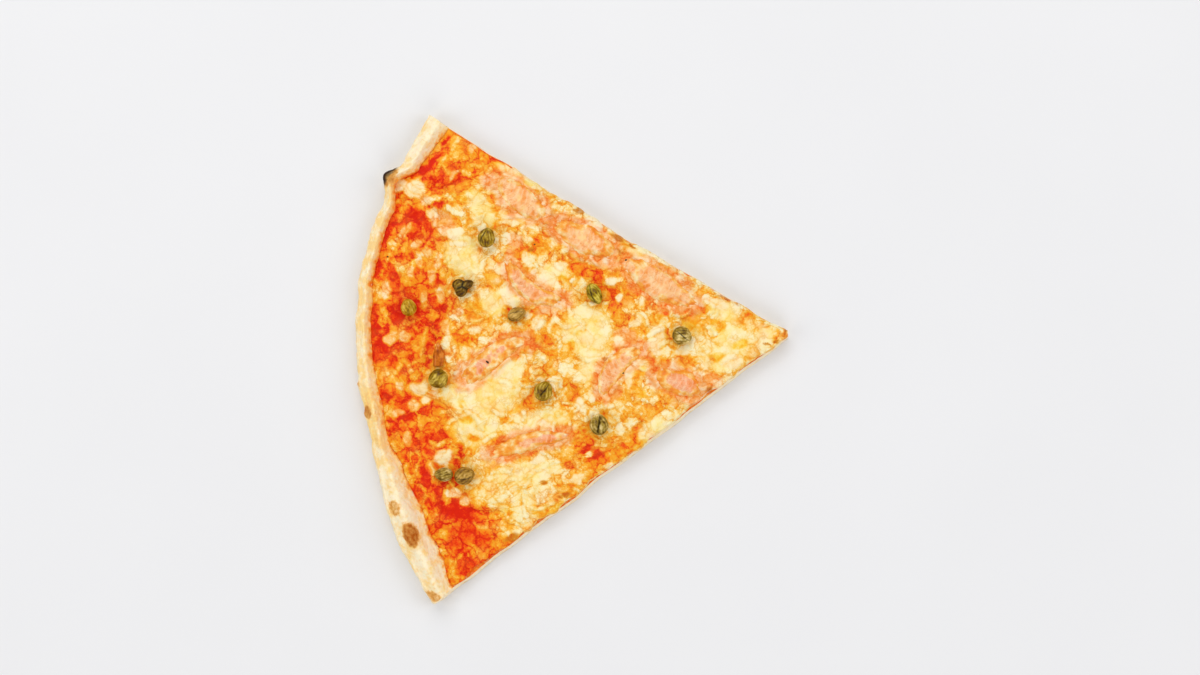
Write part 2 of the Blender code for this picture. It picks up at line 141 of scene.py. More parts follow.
SCRAPS = ((-64.6, 65.2, 3.6, 1.3), (-60.0, 62.2, 3.8, 1.2), (-52.0, 57.0, 3.4, 0.9), (-62.5, 34.0, 4.0, 0.7),
          (-58.0, 41.0, 3.8, 0.8), (-66.0, 8.5, 3.6, 0.8), (-61.2, -28.6, 2.2, 1.0), (-64.5, -10.0, 3.4, 0.7),
          (-56.5, -26.0, 4.0, 0.8), (-49.0, -49.5, 3.4, 0.8), (-46.5, -61.0, 3.2, 0.9), (-41.0, 74.0, 3.4, 0.7))
SALMON = (
    (((-27.5, 68.0), (-22.0, 62.5), (-15.5, 57.0), (-9.5, 53.5)), (3.6, 5.4, 5.2, 3.6)),
    (((-6.5, 51.0), (1.5, 46.5), (9.0, 43.0), (15.5, 38.5)), (3.8, 5.8, 6.0, 4.2)),
    (((20.0, 37.5), (27.5, 31.5), (36.5, 25.5), (47.0, 20.0)), (3.2, 5.8, 5.6, 3.2)),
    (((-24.0, 38.0), (-20.0, 30.0), (-12.0, 24.0), (-3.0, 21.5)), (2.8, 3.8, 4.2, 3.0)),
    (((-40.5, -8.5), (-33.5, -2.5), (-25.5, 4.0), (-16.0, 8.0)), (3.8, 4.8, 4.4, 3.2)),
    (((-31.0, -35.5), (-21.5, -32.0), (-11.0, -29.0), (-0.5, -28.0)), (3.0, 3.8, 3.6, 2.6)),
    (((26.0, 4.0), (18.5, -0.5), (13.5, -6.5), (11.5, -13.5)), (3.4, 4.6, 4.4, 3.0)),
    (((31.0, -4.5), (37.0, -7.0), (43.0, -9.5), (46.0, -14.0)), (3.6, 5.0, 5.4, 4.0)),
)
SALMON_THICKNESS = 1.5 * MM
SALMON_WAVE = 0.35 * MM
SALMON_WAVE_LENGTH = 6.0 * MM
SALMON_RAGGED = 0.3
SALMON_RAG_SCALE = 1.1
SALMON_BLUNTNESS = 0.78
SALMON_BED_REACH = 1.2 * MM
CAPERS = (
    (-31.4, 45.4, 7.4, 6.4, 5.6, 78.0),
    (-40.4, 27.2, 7.6, 6.2, 4.8, 25.0),
    (-60.5, 19.6, 6.4, 5.8, 5.6, 95.0),
    (-20.3, 17.0, 7.0, 5.2, 4.8, 22.0),
    (8.6, 24.6, 8.2, 5.4, 5.0, -62.0),
    (41.0, 9.0, 7.4, 6.9, 5.8, -25.0),
    (-49.4, -6.9, 7.4, 7.2, 6.0, 200.0),
    (-10.3, -11.4, 7.6, 6.8, 5.8, 65.0),
    (10.2, -23.8, 8.0, 7.0, 5.6, 95.0),
    (-47.5, -42.5, 6.9, 5.2, 4.8, 180.0),
    (-39.6, -42.9, 7.7, 6.7, 5.8, 20.0),
)
OPENED_CAPER = 2
OPENED_LOBES = 0.16
CAPER_POINT = 0.22

# The finer surface: rows of facets, and how far the layers close up where the solids keep a gap.
CHEESE_ROWS = 310
SAUCE_ACROSS = 400
SAUCE_COVERED_ROWS = 50
SAUCE_BARE_ROWS = 60
WALL_STEPS = 5
CRUST_CUTS = 6
CLOSED_GAP = 0.35 * MM
LOWER_TOPPING_INSET = 1.1 * MM
UPPER_TOPPING_INSET = 0.6 * MM
TOPPING_INSET_LENGTH = 6.0 * MM
TOPPING_INSET_START = 20.0 * MM

TRAITS = ("cover", "calm", "oil", "pink", "brown")
# What each kind of place does to the toppings there: how much cheese covers the sauce, how calm the
# surface is, how oily, how pink and how browned it is, and how far it stands up as a share of the
# relief.
KINDS = {
    "film": (0.50, 0.0, 0.2, 0.0, 0.0, -0.15),
    "bubbly": (0.62, 0.0, 0.5, 0.0, 0.0, 0.0),
    "rich": (0.86, 0.25, 0.2, 0.0, 0.0, 0.1),
    "glaze": (0.36, 0.1, 0.0, 0.0, 0.0, -0.1),
    "sauce": (0.12, 0.30, 0.0, 0.0, 0.0, -0.35),
    "pool": (0.92, 0.7, 0.5, 0.0, 0.0, 0.25),
    "blush": (0.70, 0.12, 0.0, 0.7, 0.0, 0.1),
    "oil": (0.62, 0.3, 1.0, 0.0, 0.0, -0.1),
    "curd": (0.93, 0.75, 0.0, 0.2, 0.0, 0.55),
    "clot": (0.76, 0.3, 0.0, 0.4, 0.0, 0.5),
    "toasted": (0.5, 0.2, 0.2, 0.0, 0.6, 0.0),
}
# The cheese before those places are painted on it, and the bare sauce.
CHEESE_BASE_COVER = 0.74
SAUCE_BASE_COVER = 0.37

# Places on the toppings by kind: x and y, half length and half width in mm, and the direction of the
# length in degrees.
PLACES = {
    "film": (
        (-43, 78, 13, 9, -35), (-45.4, -26, 6.5, 7, 0), (-56, -48, 12, 3, -68), (-45, -80, 5, 5, 0),
        (-24, -67, 8, 3.5, 35), (18.8, -31.6, 12, 4, 33), (5.2, -34.1, 5, 4, 0), (-26.9, -31.6, 5, 3, 20),
        (0.4, -12, 3, 4, 0), (-12.1, 7.9, 6, 4, -20), (32.3, 16.5, 4.5, 1.6, 25), (32.3, -1.5, 4, 4, 0),
        (15.1, 26.4, 9, 6, -30), (19.5, 30.9, 5, 2.4, 0), (-13, 42, 6, 3, -30), (41.7, -0.3, 3.5, 2.2, 0),
        (34.9, -11.5, 2.6, 2, 0), (64.7, 17.3, 2.6, 1.4, -25), (63.3, 1.5, 3, 1.2, 15), (-63, -6, 6, 7, 0),
        (-40, 9, 5, 3, 30), (-29.5, 63.5, 4, 3, 0), (-17, -16, 3, 1.3, 20), (-69, -17, 4, 5, 0),
    ),
    "bubbly": (
        (-56.4, 35.3, 6.5, 11, 0), (-51.7, -27.9, 3.5, 3.5, 0), (-35.5, 17.7, 6, 4, 0), (-19.5, -54, 9, 5, 10),
        (-43, 62, 7, 4, 0), (21.8, -30.7, 5, 4, 40), (-8, -55, 6, 4, 30), (-64, 30, 3, 5, 0),
    ),
    "rich": (
        (58, 8, 18, 9, 0), (-24, -46, 18, 9, -5), (-20, -60, 8, 4, 35), (41, 25, 8, 4, -25),
    ),
    "glaze": (
        (-55, 28, 8, 9, 0), (-55, 46, 7, 8, 0), (-55, -27, 8, 9, 0), (-57, 5, 6, 8, 0), (-46, -46, 5, 9, 0),
        (-22, 20, 7, 3, 0), (24, -28, 9, 3, 35), (4, 34, 8, 3, -25), (-0.7, -39, 2.6, 1.6, 0),
    ),
    "sauce": (
        (-57.8, 69.9, 5.5, 1.7, 15), (-68.3, 50.2, 8.5, 2.2, 63), (-59.3, 53.9, 3.6, 3, 0),
        (-53.5, 50.6, 8.5, 1.6, -57), (-50, 57.2, 2.4, 2, 0), (-47.4, 81.8, 2.2, 1, 40),
        (-50.8, 74.4, 3, 1.2, 50), (-41, 84, 4, 1, -35), (-72, 33, 3.2, 4.5, 10), (-66, 29, 2, 6, 8),
        (-64.5, 18, 3, 4.6, 0), (-57, 19, 1.8, 3.6, 0), (-74.5, 15, 2.8, 7, 0), (-71.5, 3, 3, 5, 0),
        (-66.5, -1, 2.4, 3, 0), (-47.9, 27.8, 2.6, 3.4, 0), (-69.4, -13.8, 2.4, 3, 0),
        (-62, -20.8, 4.5, 1.8, -20), (-68.3, -22.3, 1.6, 1.6, 0), (-53.3, -32, 5, 2.6, -55),
        (-54.8, -42, 6, 1.9, -80), (-49, -41, 4, 1.7, -65), (-57.6, -50.2, 4, 1.9, -60),
        (-52.6, -55, 3, 1.8, -70), (-44, -56.2, 6.5, 3.6, -20), (-35.5, -64, 7, 4.6, -38),
        (-43, -66, 4, 5, -30), (-40, -77, 4, 3, 40), (7.5, -34.3, 4.6, 2.2, -15), (35, 17, 1.6, 1, 20),
        (-53, 4, 1.6, 3, 20),
    ),
    "pool": (
        (5.5, 11, 9.5, 9.5, 0), (8, 3, 5, 4, 0), (-31, -13.5, 12, 8.5, 12), (-24, -5.5, 8, 4.5, 40),
        (-40.4, 38.5, 6.3, 8.5, 10), (-33.7, 56.6, 7.5, 3.4, -62), (56.5, 18.5, 6.5, 3.6, -20),
        (56.5, 0.5, 7, 5, 15), (32, 7.2, 3, 6, -10), (5.6, -4, 2.7, 5, 0), (-17, -42, 12, 4.2, 8),
        (-10.8, -21.4, 10, 3.2, 4), (-7, 31.5, 5.5, 4.5, 0), (-29, 21, 4.5, 5.5, 0), (24.6, 39.2, 4.5, 2, -38),
        (60, 8, 6, 5, 0), (-20, -25, 6, 3, 20), (72, 9, 3.6, 3, 0), (-22, 24, 2.6, 4, 30), (-43, -13, 5, 4, 0),
        (-19, 68.5, 11, 2.2, -28), (-36, -26, 9, 7, 0), (30, -26, 6, 4, 35),
    ),
    "blush": (
        (-48, 51, 5, 4, -30), (-48, -36, 3.6, 2.8, 0), (-21.2, 44.6, 3, 2.4, 0), (52, -8, 4, 3, 0),
        (20, 8, 4, 4, 0), (-31, 66, 3, 3, 0), (13, -9, 5, 6, 0), (40, 30, 6, 2.4, -30),
    ),
    "oil": (
        (53.4, 13, 3, 2.6, 0), (53.8, 1.2, 2.6, 1.7, 0), (25, -4.4, 2.6, 2, 0), (22.8, -9.8, 2.6, 2, 0),
        (25.9, -12.6, 2, 1.7, 0), (-30, -2, 3, 1.6, 40), (-19.5, -18.3, 4, 1, 15), (-36, -29, 2.6, 1.4, -20),
        (-39, -22, 2.4, 1.5, 20), (-17, 33, 2.6, 1.6, 0), (-3.5, 30, 2, 1.4, 0), (63, 6, 3, 1.6, 20),
        (44, 14, 3, 2, 0), (-30, 31, 2, 1.4, 0), (0, 6, 1.6, 2.4, 0),
    ),
    "curd": (
        (-64.4, 65.2, 2.7, 2.6, 0), (-58.4, 63.8, 4.2, 3.2, 10), (-22.5, 52.5, 4, 2.4, -5),
        (-26.4, 58.4, 1.9, 1.8, 0), (-27.7, 61.9, 1.5, 1.5, 0), (13.6, -39.1, 1.8, 1.5, 0),
        (6.1, -35.3, 1.3, 1.1, 0), (30.7, -29.2, 1.8, 1.4, 0), (15.4, -7.8, 2.8, 2.3, 0),
        (31.6, -8.4, 2.8, 2.6, 0), (21.4, -6.7, 1.4, 4.6, 0), (32.4, 9.6, 2.4, 3.2, 15),
        (30.9, 4.7, 2, 3.2, 0), (41.3, 3.3, 2.6, 1.8, 0), (25.5, -0.7, 2.2, 1.4, 0), (54.3, 21, 4, 1.8, -25),
        (59.7, -0.7, 3.4, 2.2, 20), (-12.8, 13.9, 1.7, 2.6, -35), (-16.2, 16.2, 1.8, 1.2, 0),
        (17.6, 23.4, 1.4, 1.5, 0), (14.7, 29, 2, 1.4, 0), (23.6, 13.5, 2.6, 1.6, 0), (17.6, 6.7, 1.8, 2.2, 0),
        (3.2, -16.4, 1.7, 2.5, 0), (-9.1, 29.6, 3.4, 1.5, -25), (-4.3, 34.6, 2.8, 2, 0),
        (-16.7, 38.1, 1.2, 2.6, 20), (-15.9, 44.5, 1.8, 1, 0), (-26.4, 33.7, 2.4, 1.9, 0),
        (-43.3, 46.9, 2.8, 2.2, 0), (-23.4, 22.6, 2.2, 4, 30), (-36, 11, 2.6, 1.6, 0),
        (-12, -37, 2.6, 1.4, 10), (2, -44, 3.2, 1.6, 25), (-57.4, -10.7, 4, 2.4, 0), (-54.3, -14.6, 2, 1.9, 0),
        (-47.9, -35.9, 2.8, 2.2, 0),
    ),
    "clot": (
        (-44, -50, 3, 1.8, -20), (-39.5, -52.5, 2.2, 1.5, 30), (-54.5, 59.6, 2, 1.6, 0),
        (-51.9, 55.1, 2.5, 1.9, 0), (-48.7, 52, 2.6, 2.1, 0), (-61.1, -29.2, 1.7, 2.9, 0),
        (-58.8, -16.8, 2.1, 2.1, 0), (-63.9, -10.1, 1.4, 1.5, 0), (-51.5, -13.3, 2.2, 1.6, 0),
        (-64.5, -19.6, 2.4, 1.3, 0), (-58, 43, 1.8, 1.4, 20), (-54, 40, 2.4, 1.5, 0), (-60, 33, 1.6, 2.2, 0),
        (-52, 31, 1.5, 2.4, 0), (-55, 24, 1.6, 2.6, 0), (-67.5, 8, 3, 2.2, 20), (-62, 9, 2.2, 1.6, 0),
        (-47, 12, 1.8, 3.2, 20), (-42, 18, 2.2, 1.8, 0), (-49, 24, 1.6, 3, 10), (-44, 69, 2.6, 1, 55),
        (-37, 79, 2, 0.9, 60), (-50, 37, 1.6, 3, -10), (-57, 37, 1.4, 3.4, 20), (-69, 26, 1.4, 3, 0),
        (-62, 48, 3.4, 1.2, 55),
    ),
    "toasted": (
        (-10.5, -45.5, 1.5, 0.9, -20), (-1.9, -49.9, 1.7, 0.9, 15), (-4.3, -51.2, 0.9, 0.7, 0),
        (-15.1, 41.1, 1.2, 0.9, 0), (-20.6, 47, 0.7, 0.6, 0), (51, -10.4, 1.4, 0.8, 30),
        (2.6, 55, 2, 0.6, -30), (17, 45.6, 2.6, 0.8, -35), (22.4, 42.4, 1.6, 0.5, -30),
        (58.5, 22.4, 4.5, 0.4, -23), (72.5, 6.4, 1.8, 0.5, -20), (76, 6.8, 0.9, 0.5, 20),
        (79.4, 10.5, 0.6, 1.6, 0), (-22.5, -66, 3, 1.4, 30), (36, -29, 2.4, 0.8, 35), (44, -23, 2.4, 0.8, 35),
        (13, 0.5, 1, 0.7, 0), (14.2, -4.6, 0.9, 0.8, 0),
    ),
}
FLAKE_SAMPLES = 24
# Shreds of cheese that kept their shape: points of the middle line, and half the width.
STRANDS = (
    (((21.8, -20.5), (21.6, -25.0), (19.0, -30.0), (14.3, -35.0)), 0.7),
    (((-58.2, -33.5), (-56.7, -36.5), (-57.8, -40.9)), 0.5),
    (((-52.6, -39.1), (-51.2, -41.7), (-51.5, -44.6)), 0.5),
    (((-26.6, -52.1), (-21.0, -47.6)), 0.7), (((-16.9, -46.5), (-17.7, -53.9), (-16.6, -59.5)), 0.6),
    (((-13.2, -47.2), (-12.5, -53.2)), 0.7), (((-30.3, -53.9), (-25.5, -56.5), (-20.3, -61.4)), 0.6),
    (((-44.5, 79.0), (-41.2, 84.0)), 0.8), (((-50.4, 70.7), (-46.7, 76.3)), 0.6),
    (((-11.7, -23.8), (-4.3, -20.1), (6.9, -19.3), (12.1, -21.9)), 0.8),
    (((-9.9, 15.8), (-12.8, 10.8), (-11.3, 7.8)), 1.0), (((-5.6, 15.4), (-8.6, 11.2), (-5.2, 6.6)), 1.0),
    (((-13.6, 9.4), (-10.2, 5.0), (-4.6, 5.4)), 1.0), (((-30.9, 46.0), (-36.8, 55.4), (-33.0, 61.0)), 1.6),
    (((-62.9, 48.9), (-66.9, 41.6), (-71.1, 31.9)), 0.7), (((-46.0, 57.2), (-49.2, 48.3), (-55.0, 41.2)), 0.8),
)
STRAND_COUNT = 150
STRAND_SEED = 5
STRAND_SAMPLES = 10
PLACE_SOFTNESS = 0.28
PLACE_WARP = 1.1
PLACE_WARP_LENGTH = 4.5


def linear(code):
    """Linear red, green and blue of an sRGB hex colour."""
    shares = [int(code[place:place + 2], 16) / 255 for place in (1, 3, 5)]
    return tuple(s / 12.92 if s <= 0.04045 else ((s + 0.055) / 1.055) ** 2.4 for s in shares)


def length(name, description, default, precision=5):
    """A length that the user can change."""
    return bpy.props.FloatProperty(
        name=name, description=description, default=default, unit="LENGTH", precision=precision)


def power(name, description, default):
    """A light's power that the user can change."""
    return bpy.props.FloatProperty(name=name, description=description, default=default, unit="POWER")


def colour(name, description, code):
    """A colour that the user can change, given as an sRGB hex value."""
    return bpy.props.FloatVectorProperty(
        name=name, description=description, default=linear(code), size=3, min=0.0, max=1.0, subtype="COLOR")


class SliceSizes(bpy.types.PropertyGroup):
    cheese_relief: length("Cheese relief", "Height of the melted lumps above the cheese's level", 0.5 * MM)
    curd_size: length("Curd size", "Width of one melted lump of grated cheese", 4.4 * MM)
    sauce_relief: length("Sauce relief", "Height of the sauce's grain and clots", 0.35 * MM)
    rim_relief: length("Rim relief", "Height of the small bumps and wrinkles on the rim", 0.22 * MM)
    pore_depth: length("Pore depth", "Depth of the holes in the cut dough", 0.8 * MM)
    flake_band: length("Flake band", "Width of one band of muscle in the salmon", 1.9 * MM)
    caper_rib: length("Caper rib", "Height of the ribs along a caper", 0.09 * MM)
    camera_height: length("Camera height", "Height of the camera above the table", 627.0 * MM, 4)
    key_power: power("Key light", "Power of the large soft light", 4.8)
    glint_power: power("Glint light", "Power of the small light that makes the wet highlights", 0.6)
    fill_power: power("Fill lights", "Power of each of the other soft lights", 2.72)


class SliceColours(bpy.types.PropertyGroup):
    dough: colour("Dough", "Pale baked dough of the rim", "#fdedc8")
    dough_warm: colour("Warm dough", "Dough where it starts to colour", "#fcd68e")
    dough_brown: colour("Browned dough", "Browned spots of the rim", "#ac5200")
    dough_burnt: colour("Burnt dough", "Burnt edge of the blister", "#301604")
    crumb: colour("Crumb", "Inside of the dough at the cuts", "#fae8c4")
    floor: colour("Floor", "Plain pale surface under the slice", "#e8e8e8")


def read(table, at):
    """The value that a table of (angle, value) pairs has at an angle, eased between its pairs."""
    if at <= table[0][0]:
        return table[0][1]
    for (left, low), (right, high) in zip(table, table[1:]):
        if at <= right:
            share = (at - left) / (right - left)
            return low + (high - low) * (1 - math.cos(math.pi * share)) / 2
    return table[-1][1]


def eased(share):
    """0 to 1 along an S curve, held outside that range. Takes a number or an array."""
    share = np.clip(share, 0.0, 1.0)
    return share * share * (3 - 2 * share)


def waves(point, wavelength, seed):
    """Smooth noise from about -1 to 1 with bumps one wavelength apart."""
    return noise.fractal(Vector((point.x, point.y, 0.0)) / wavelength + Vector((seed, 0, seed)), 0.8, 2.0, 2)


def bump(distance, radius):
    """A smooth bump's height, as a share, at a distance from its middle."""
    return math.exp(-2.2 * (distance / radius) ** 2)


def angle_at(across):
    """Degrees from -X, seen from the tip. across runs from -1 at the lower cut to 1 at the upper."""
    low, high = CUT_ANGLES
    return (low + high) / 2 + across * (high - low) / 2


def outer_radius(angle):
    """Distance from the tip to the rim's outer edge."""
    bumps = EDGE_UNEVENNESS * waves(Vector((angle, 0, 0)), EDGE_WAVE_DEGREES, 4.0)
    return PIZZA_RADIUS + read(EDGE_BULGE, angle) * MM + bumps


def inner_radius(angle):
    """Distance from the tip to where the rim starts to rise."""
    return outer_radius(angle) - read(RIM_WIDTH, angle) * MM


def cheese_radius(angle):
    """Distance from the tip to the cheese's ragged edge, kept clear of the rim."""
    ragged = CHEESE_RAGGEDNESS * waves(Vector((angle, 0, 0)), CHEESE_RAG_DEGREES, 9.0)
    return min(read(CHEESE_REACH, angle) * MM + ragged, inner_radius(angle) - CHEESE_CLEAR_OF_RIM)


def cut_side(across):
    """The side of the nearer cut, and the direction that leads out of the slice there."""
    side = 1.0 if across > 0 else -1.0
    cut = math.radians(angle_at(side))
    return side, Vector((math.sin(cut), math.cos(cut), 0.0)) * side


def sector_point(radius, across, height_share=1.0):
    """The place seen from above of a point at a radius from the tip. height_share runs from 0 on the
    table to 1 at the top."""
    angle = math.radians(angle_at(across))
    blunt = math.hypot(radius, TIP_ROUNDING)
    point = TIP + Vector((-math.cos(angle), math.sin(angle), 0.0)) * blunt
    side, outward = cut_side(across)
    flare = CUT_FLARE * (UPPER_FLARE_SHARE if side > 0 else 1.0)
    push = flare * (1 - height_share)
    push += CUT_WANDER * waves(Vector((radius, side * CUT_WANDER_SEED, 0.0)), CUT_WANDER_LENGTH, 2.0)
    if side > 0:
        push -= UPPER_CUT_BOW * math.sin(math.pi * min(1.0, radius / PIZZA_RADIUS))
    return point + outward * push * abs(across) ** CUT_BAND_POWER


def topping_point(radius, across):
    """A point of the toppings seen from above: they stop a little short of the cuts."""
    side, outward = cut_side(across)
    point = sector_point(radius, across)
    ragged = 0.7 + 0.9 * waves(Vector((radius, side * CUT_WANDER_SEED, 0.0)), TOPPING_INSET_LENGTH, 31.0)
    inset = (LOWER_TOPPING_INSET if side < 0 else UPPER_TOPPING_INSET) * max(0.1, ragged)
    return point - outward * inset * abs(across) ** CUT_BAND_POWER * min(1.0, radius / TOPPING_INSET_START)


def blister_rise(angle, on_rim, width, outer):
    """The height that the blisters add at an angle and a share of the rim's width."""
    rise = 0.0
    for blister_angle, share, size, high in BLISTERS:
        around = math.radians(angle - blister_angle) * outer
        apart = math.hypot(around, (on_rim - share) * width)
        rise += high * MM * bump(apart, size * MM)
    return rise


def crust_point(out, across, height):
    """The dough: a flat bed for the sauce, then the rim with its rounded outer wall."""
    angle = angle_at(across)
    row = out * (DOUGH_ROWS + RIM_ROWS)
    inner, outer = inner_radius(angle), outer_radius(angle)
    on_rim = max(0.0, (row - DOUGH_ROWS) / RIM_ROWS)
    radius = inner * min(1.0, row / DOUGH_ROWS) + (outer - inner) * on_rim
    profile = float(eased(on_rim / RIM_CREST)) - RIM_FALL * float(eased((on_rim - RIM_CREST) / (1 - RIM_CREST)))
    rise = (read(RIM_HEIGHT, angle) * MM - DOUGH_TOP) * profile
    blisters = blister_rise(angle, on_rim, outer - inner, outer)
    uneven = RIM_UNEVENNESS * waves(Vector((radius, angle * MM, 0.0)), RIM_BUMP, 7.0)
    top = DOUGH_TOP + rise + (uneven + blisters) * float(eased(on_rim * 3))
    radius += on_rim * (WALL_BULGE * math.sin(math.pi * height) - WALL_UNDERCUT * (1 - height) ** 3)
    if out > NEARLY_ALL:
        radius += BLISTER_PUSH * blisters
    return sector_point(radius, across, height) + Vector((0, 0, top * height)), on_rim


def along(points, share):
    """The place and the direction at a share of the way along a smooth line through the points."""
    spans = len(points) - 1
    step = min(spans - 1, int(share * spans))
    local = share * spans - step
    ends = [points[max(0, min(spans, step + k))] for k in (-1, 0, 1, 2)]
    before, start, end, after = (Vector(point) for point in ends)
    pull, push = (end - before) / 2, (after - start) / 2
    place = ((2 * start - 2 * end + pull + push) * local ** 3
             + (3 * end - 3 * start - 2 * pull - push) * local ** 2 + pull * local + start)
    heading = ((6 * start - 6 * end + 3 * pull + 3 * push) * local ** 2
               + (6 * end - 6 * start - 4 * pull - 2 * push) * local + pull)
    return place, heading.normalized()


def noise_at(x, y, length, seed, octaves=2):
    """Smooth noise from about -1 to 1 at arrays of places in mm, with bumps one length apart."""
    return np.array([
        noise.fractal(Vector((a / length + seed, b / length, seed)), 0.8, 2.0, octaves) for a, b in zip(x, y)
    ])


def curds_at(x, y, size, seed):
    """Lumps of melted cheese as cells: a random number for each cell, and the nearness to its border,
    from 0 in the middle to 1 on the line between two cells."""
    chance, border = np.empty(len(x)), np.empty(len(x))
    for place, (a, b) in enumerate(zip(x, y)):
        distances, points = noise.voronoi(Vector((a / size, b / size, seed)))
        chance[place] = 0.5 + 0.5 * noise.cell(points[0] * 5.3)
        border[place] = 1 - min(1.0, (distances[1] - distances[0]) / 0.45)
    return chance, border


def share_inside(x, y, place):
    """How far each point is inside a soft-edged ellipse: 1 in its middle, 0 past its edge."""
    middle_x, middle_y, half_length, half_width, turn = place
    cosine, sine = math.cos(math.radians(turn)), math.sin(math.radians(turn))
    dx, dy = x - middle_x, y - middle_y
    reach = np.hypot((dx * cosine + dy * sine) / half_length, (dy * cosine - dx * sine) / half_width)
    return eased((1 + PLACE_SOFTNESS - reach) / (2 * PLACE_SOFTNESS))


def past_flakes(x, y):
    """How far each place in mm lies outside the nearest flake of salmon. Inside one it is below 0."""
    nearest = np.full(len(x), FAR)
    for line, half_widths in SALMON:
        widths = [(half, 0.0) for half in half_widths]
        for step in range(FLAKE_SAMPLES + 1):
            middle = along(line, step / FLAKE_SAMPLES)[0]
            half = along(widths, step / FLAKE_SAMPLES)[0].x
            half *= (1 - (2 * step / FLAKE_SAMPLES - 1) ** 6) ** 0.5
            nearest = np.minimum(nearest, np.hypot(x - middle.x, y - middle.y) - half)
    return nearest


def scattered_strands(count, seed):
    """Lines and half widths of shreds of cheese scattered over the toppings, in mm."""
    draw = random.Random(seed)
    strands = []
    while len(strands) < count:
        across, out = draw.uniform(-0.96, 0.96), math.sqrt(draw.uniform(0.01, 1.15))
        start = sector_point(cheese_radius(angle_at(across)) * out, across) / MM
        line, turn = [(start.x, start.y)], draw.uniform(0, math.tau)
        step, bend = draw.uniform(0.9, 2.6), draw.uniform(-0.7, 0.7)
        for _ in range(3):
            turn += bend + draw.uniform(-0.3, 0.3)
            line.append((line[-1][0] + step * math.cos(turn), line[-1][1] + step * math.sin(turn)))
        strands.append((line, draw.uniform(0.45, 0.8)))
    return strands


def past_strands(x, y):
    """How far each place in mm lies outside the nearest shred of cheese. Inside one it is below 0."""
    nearest = np.full(len(x), FAR)
    for line, half in (*STRANDS, *scattered_strands(STRAND_COUNT, STRAND_SEED)):
        for step in range(STRAND_SAMPLES + 1):
            middle = along(line, step / STRAND_SAMPLES)[0]
            nearest = np.minimum(nearest, np.hypot(x - middle.x, y - middle.y) - half)
    return nearest


# The melted lumps: length of their swells and their grain in mm, how much whole and half-size lumps
# differ in cover, how far the creases between them thin it, and their heights as shares of the relief.
SWELL_LENGTH = 5.5
GRAIN_LENGTH = 1.6
SMALL_LUMP = 0.5
LUMP_CONTRAST = 0.32
SMALL_LUMP_CONTRAST = 0.16
CREASE_THINNING = 0.16
SMALL_CREASE_THINNING = 0.08
LUMP_HEIGHT = 0.9
SMALL_LUMP_HEIGHT = 0.3
# The shreds: where their outlines run and how wide these are in mm, and the depth of the outlines
# and height of the shreds as shares of the relief.
OUTLINE_AT = 0.45
OUTLINE_WIDTH = 0.35
OUTLINE_DEPTH = 0.3
SHRED_HEIGHT = 0.7
# The cheese beside the salmon: height of its lip as a share of the relief, width of the lip in mm,
# and width in mm and strength of the pink border.
LIP_HEIGHT = 2.2
LIP_WIDTH = 1.2
BLUSH_WIDTH = 3.5
BLUSH_STRENGTH = 0.8


def paint_toppings(x, y, base_cover, curd):
    """What the toppings are like at places in mm: arrays of the five traits, and the relief."""
    warp_x = PLACE_WARP * noise_at(x, y, PLACE_WARP_LENGTH, 11.0)
    warp_y = PLACE_WARP * noise_at(x, y, PLACE_WARP_LENGTH, 17.0)
    traits = [base_cover.copy()] + [np.zeros(len(x)) for _ in range(5)]
    for kind, values in KINDS.items():
        for place in PLACES[kind]:
            share = share_inside(x + warp_x, y + warp_y, place)
            for trait, value in zip(traits, values):
                trait += (value - trait) * share
    cover, calm, oil, pink, brown, rise = traits
    busy = 1 - calm
    painted = cover.copy()
    chance, border = curds_at(x + warp_x, y + warp_y, curd, 3.0)
    small_chance, small_border = curds_at(x - warp_y, y + warp_x, curd * SMALL_LUMP, 8.0)
    middle = noise_at(x, y, SWELL_LENGTH, 23.0)
    fine = noise_at(x, y, GRAIN_LENGTH, 29.0, 3)
    cover += busy * (LUMP_CONTRAST * (chance - 0.5) + SMALL_LUMP_CONTRAST * (small_chance - 0.5)
                     + 0.15 * middle + 0.05 * fine)
    cover -= busy * (CREASE_THINNING * border ** 3 + SMALL_CREASE_THINNING * small_border ** 3)
    cover += calm * (0.05 * middle + 0.03 * fine)
    cover = np.maximum(cover, 0.5 * painted)
    shred = past_strands(x + 0.4 * warp_x, y + 0.4 * warp_y)
    outline = np.exp(-((shred - OUTLINE_AT) / OUTLINE_WIDTH) ** 2) * (0.4 + 0.6 * small_chance)
    cover += (np.maximum(0.4, 0.55 * painted) - cover) * 0.6 * outline
    in_shred = eased(0.5 - shred / 0.6)
    cover += (0.5 + 0.5 * painted - cover) * 0.75 * in_shred
    past = past_flakes(x, y)
    halo = past + 3.0 * noise_at(x, y, 4.0, 37.0)
    past = past + 1.2 * middle
    cover += (0.46 - cover) * 0.7 * np.exp(-((past - 0.3) / 0.8) ** 2) * eased(1.6 * small_chance)
    pink = np.maximum(pink, BLUSH_STRENGTH * (1 - eased((halo + 0.5) / BLUSH_WIDTH)) * (past < 4))
    relief = rise + busy * (LUMP_HEIGHT * (1 - border ** 2) * np.clip(cover, 0, 1) - 0.35
                            + SMALL_LUMP_HEIGHT * (1 - small_border ** 2))
    relief += 0.25 * middle * calm + 0.2 * fine
    relief += SHRED_HEIGHT * in_shred - OUTLINE_DEPTH * outline
    relief += LIP_HEIGHT * np.exp(-(past / LIP_WIDTH) ** 2) * eased(0.5 + 1.4 * middle)
    found = (np.clip(trait, 0, 1) for trait in (cover, calm, oil, pink, brown))
    return dict(zip(TRAITS, found)), relief


# How deep light passes under the surfaces.
LIGHT_DEPTH = 1.0 * MM
# The sockets of a node that mixes two colours: its factor and the colours, and its result.
MIX_INPUTS = (0, 6, 7)
MIX_OUTPUT = 2


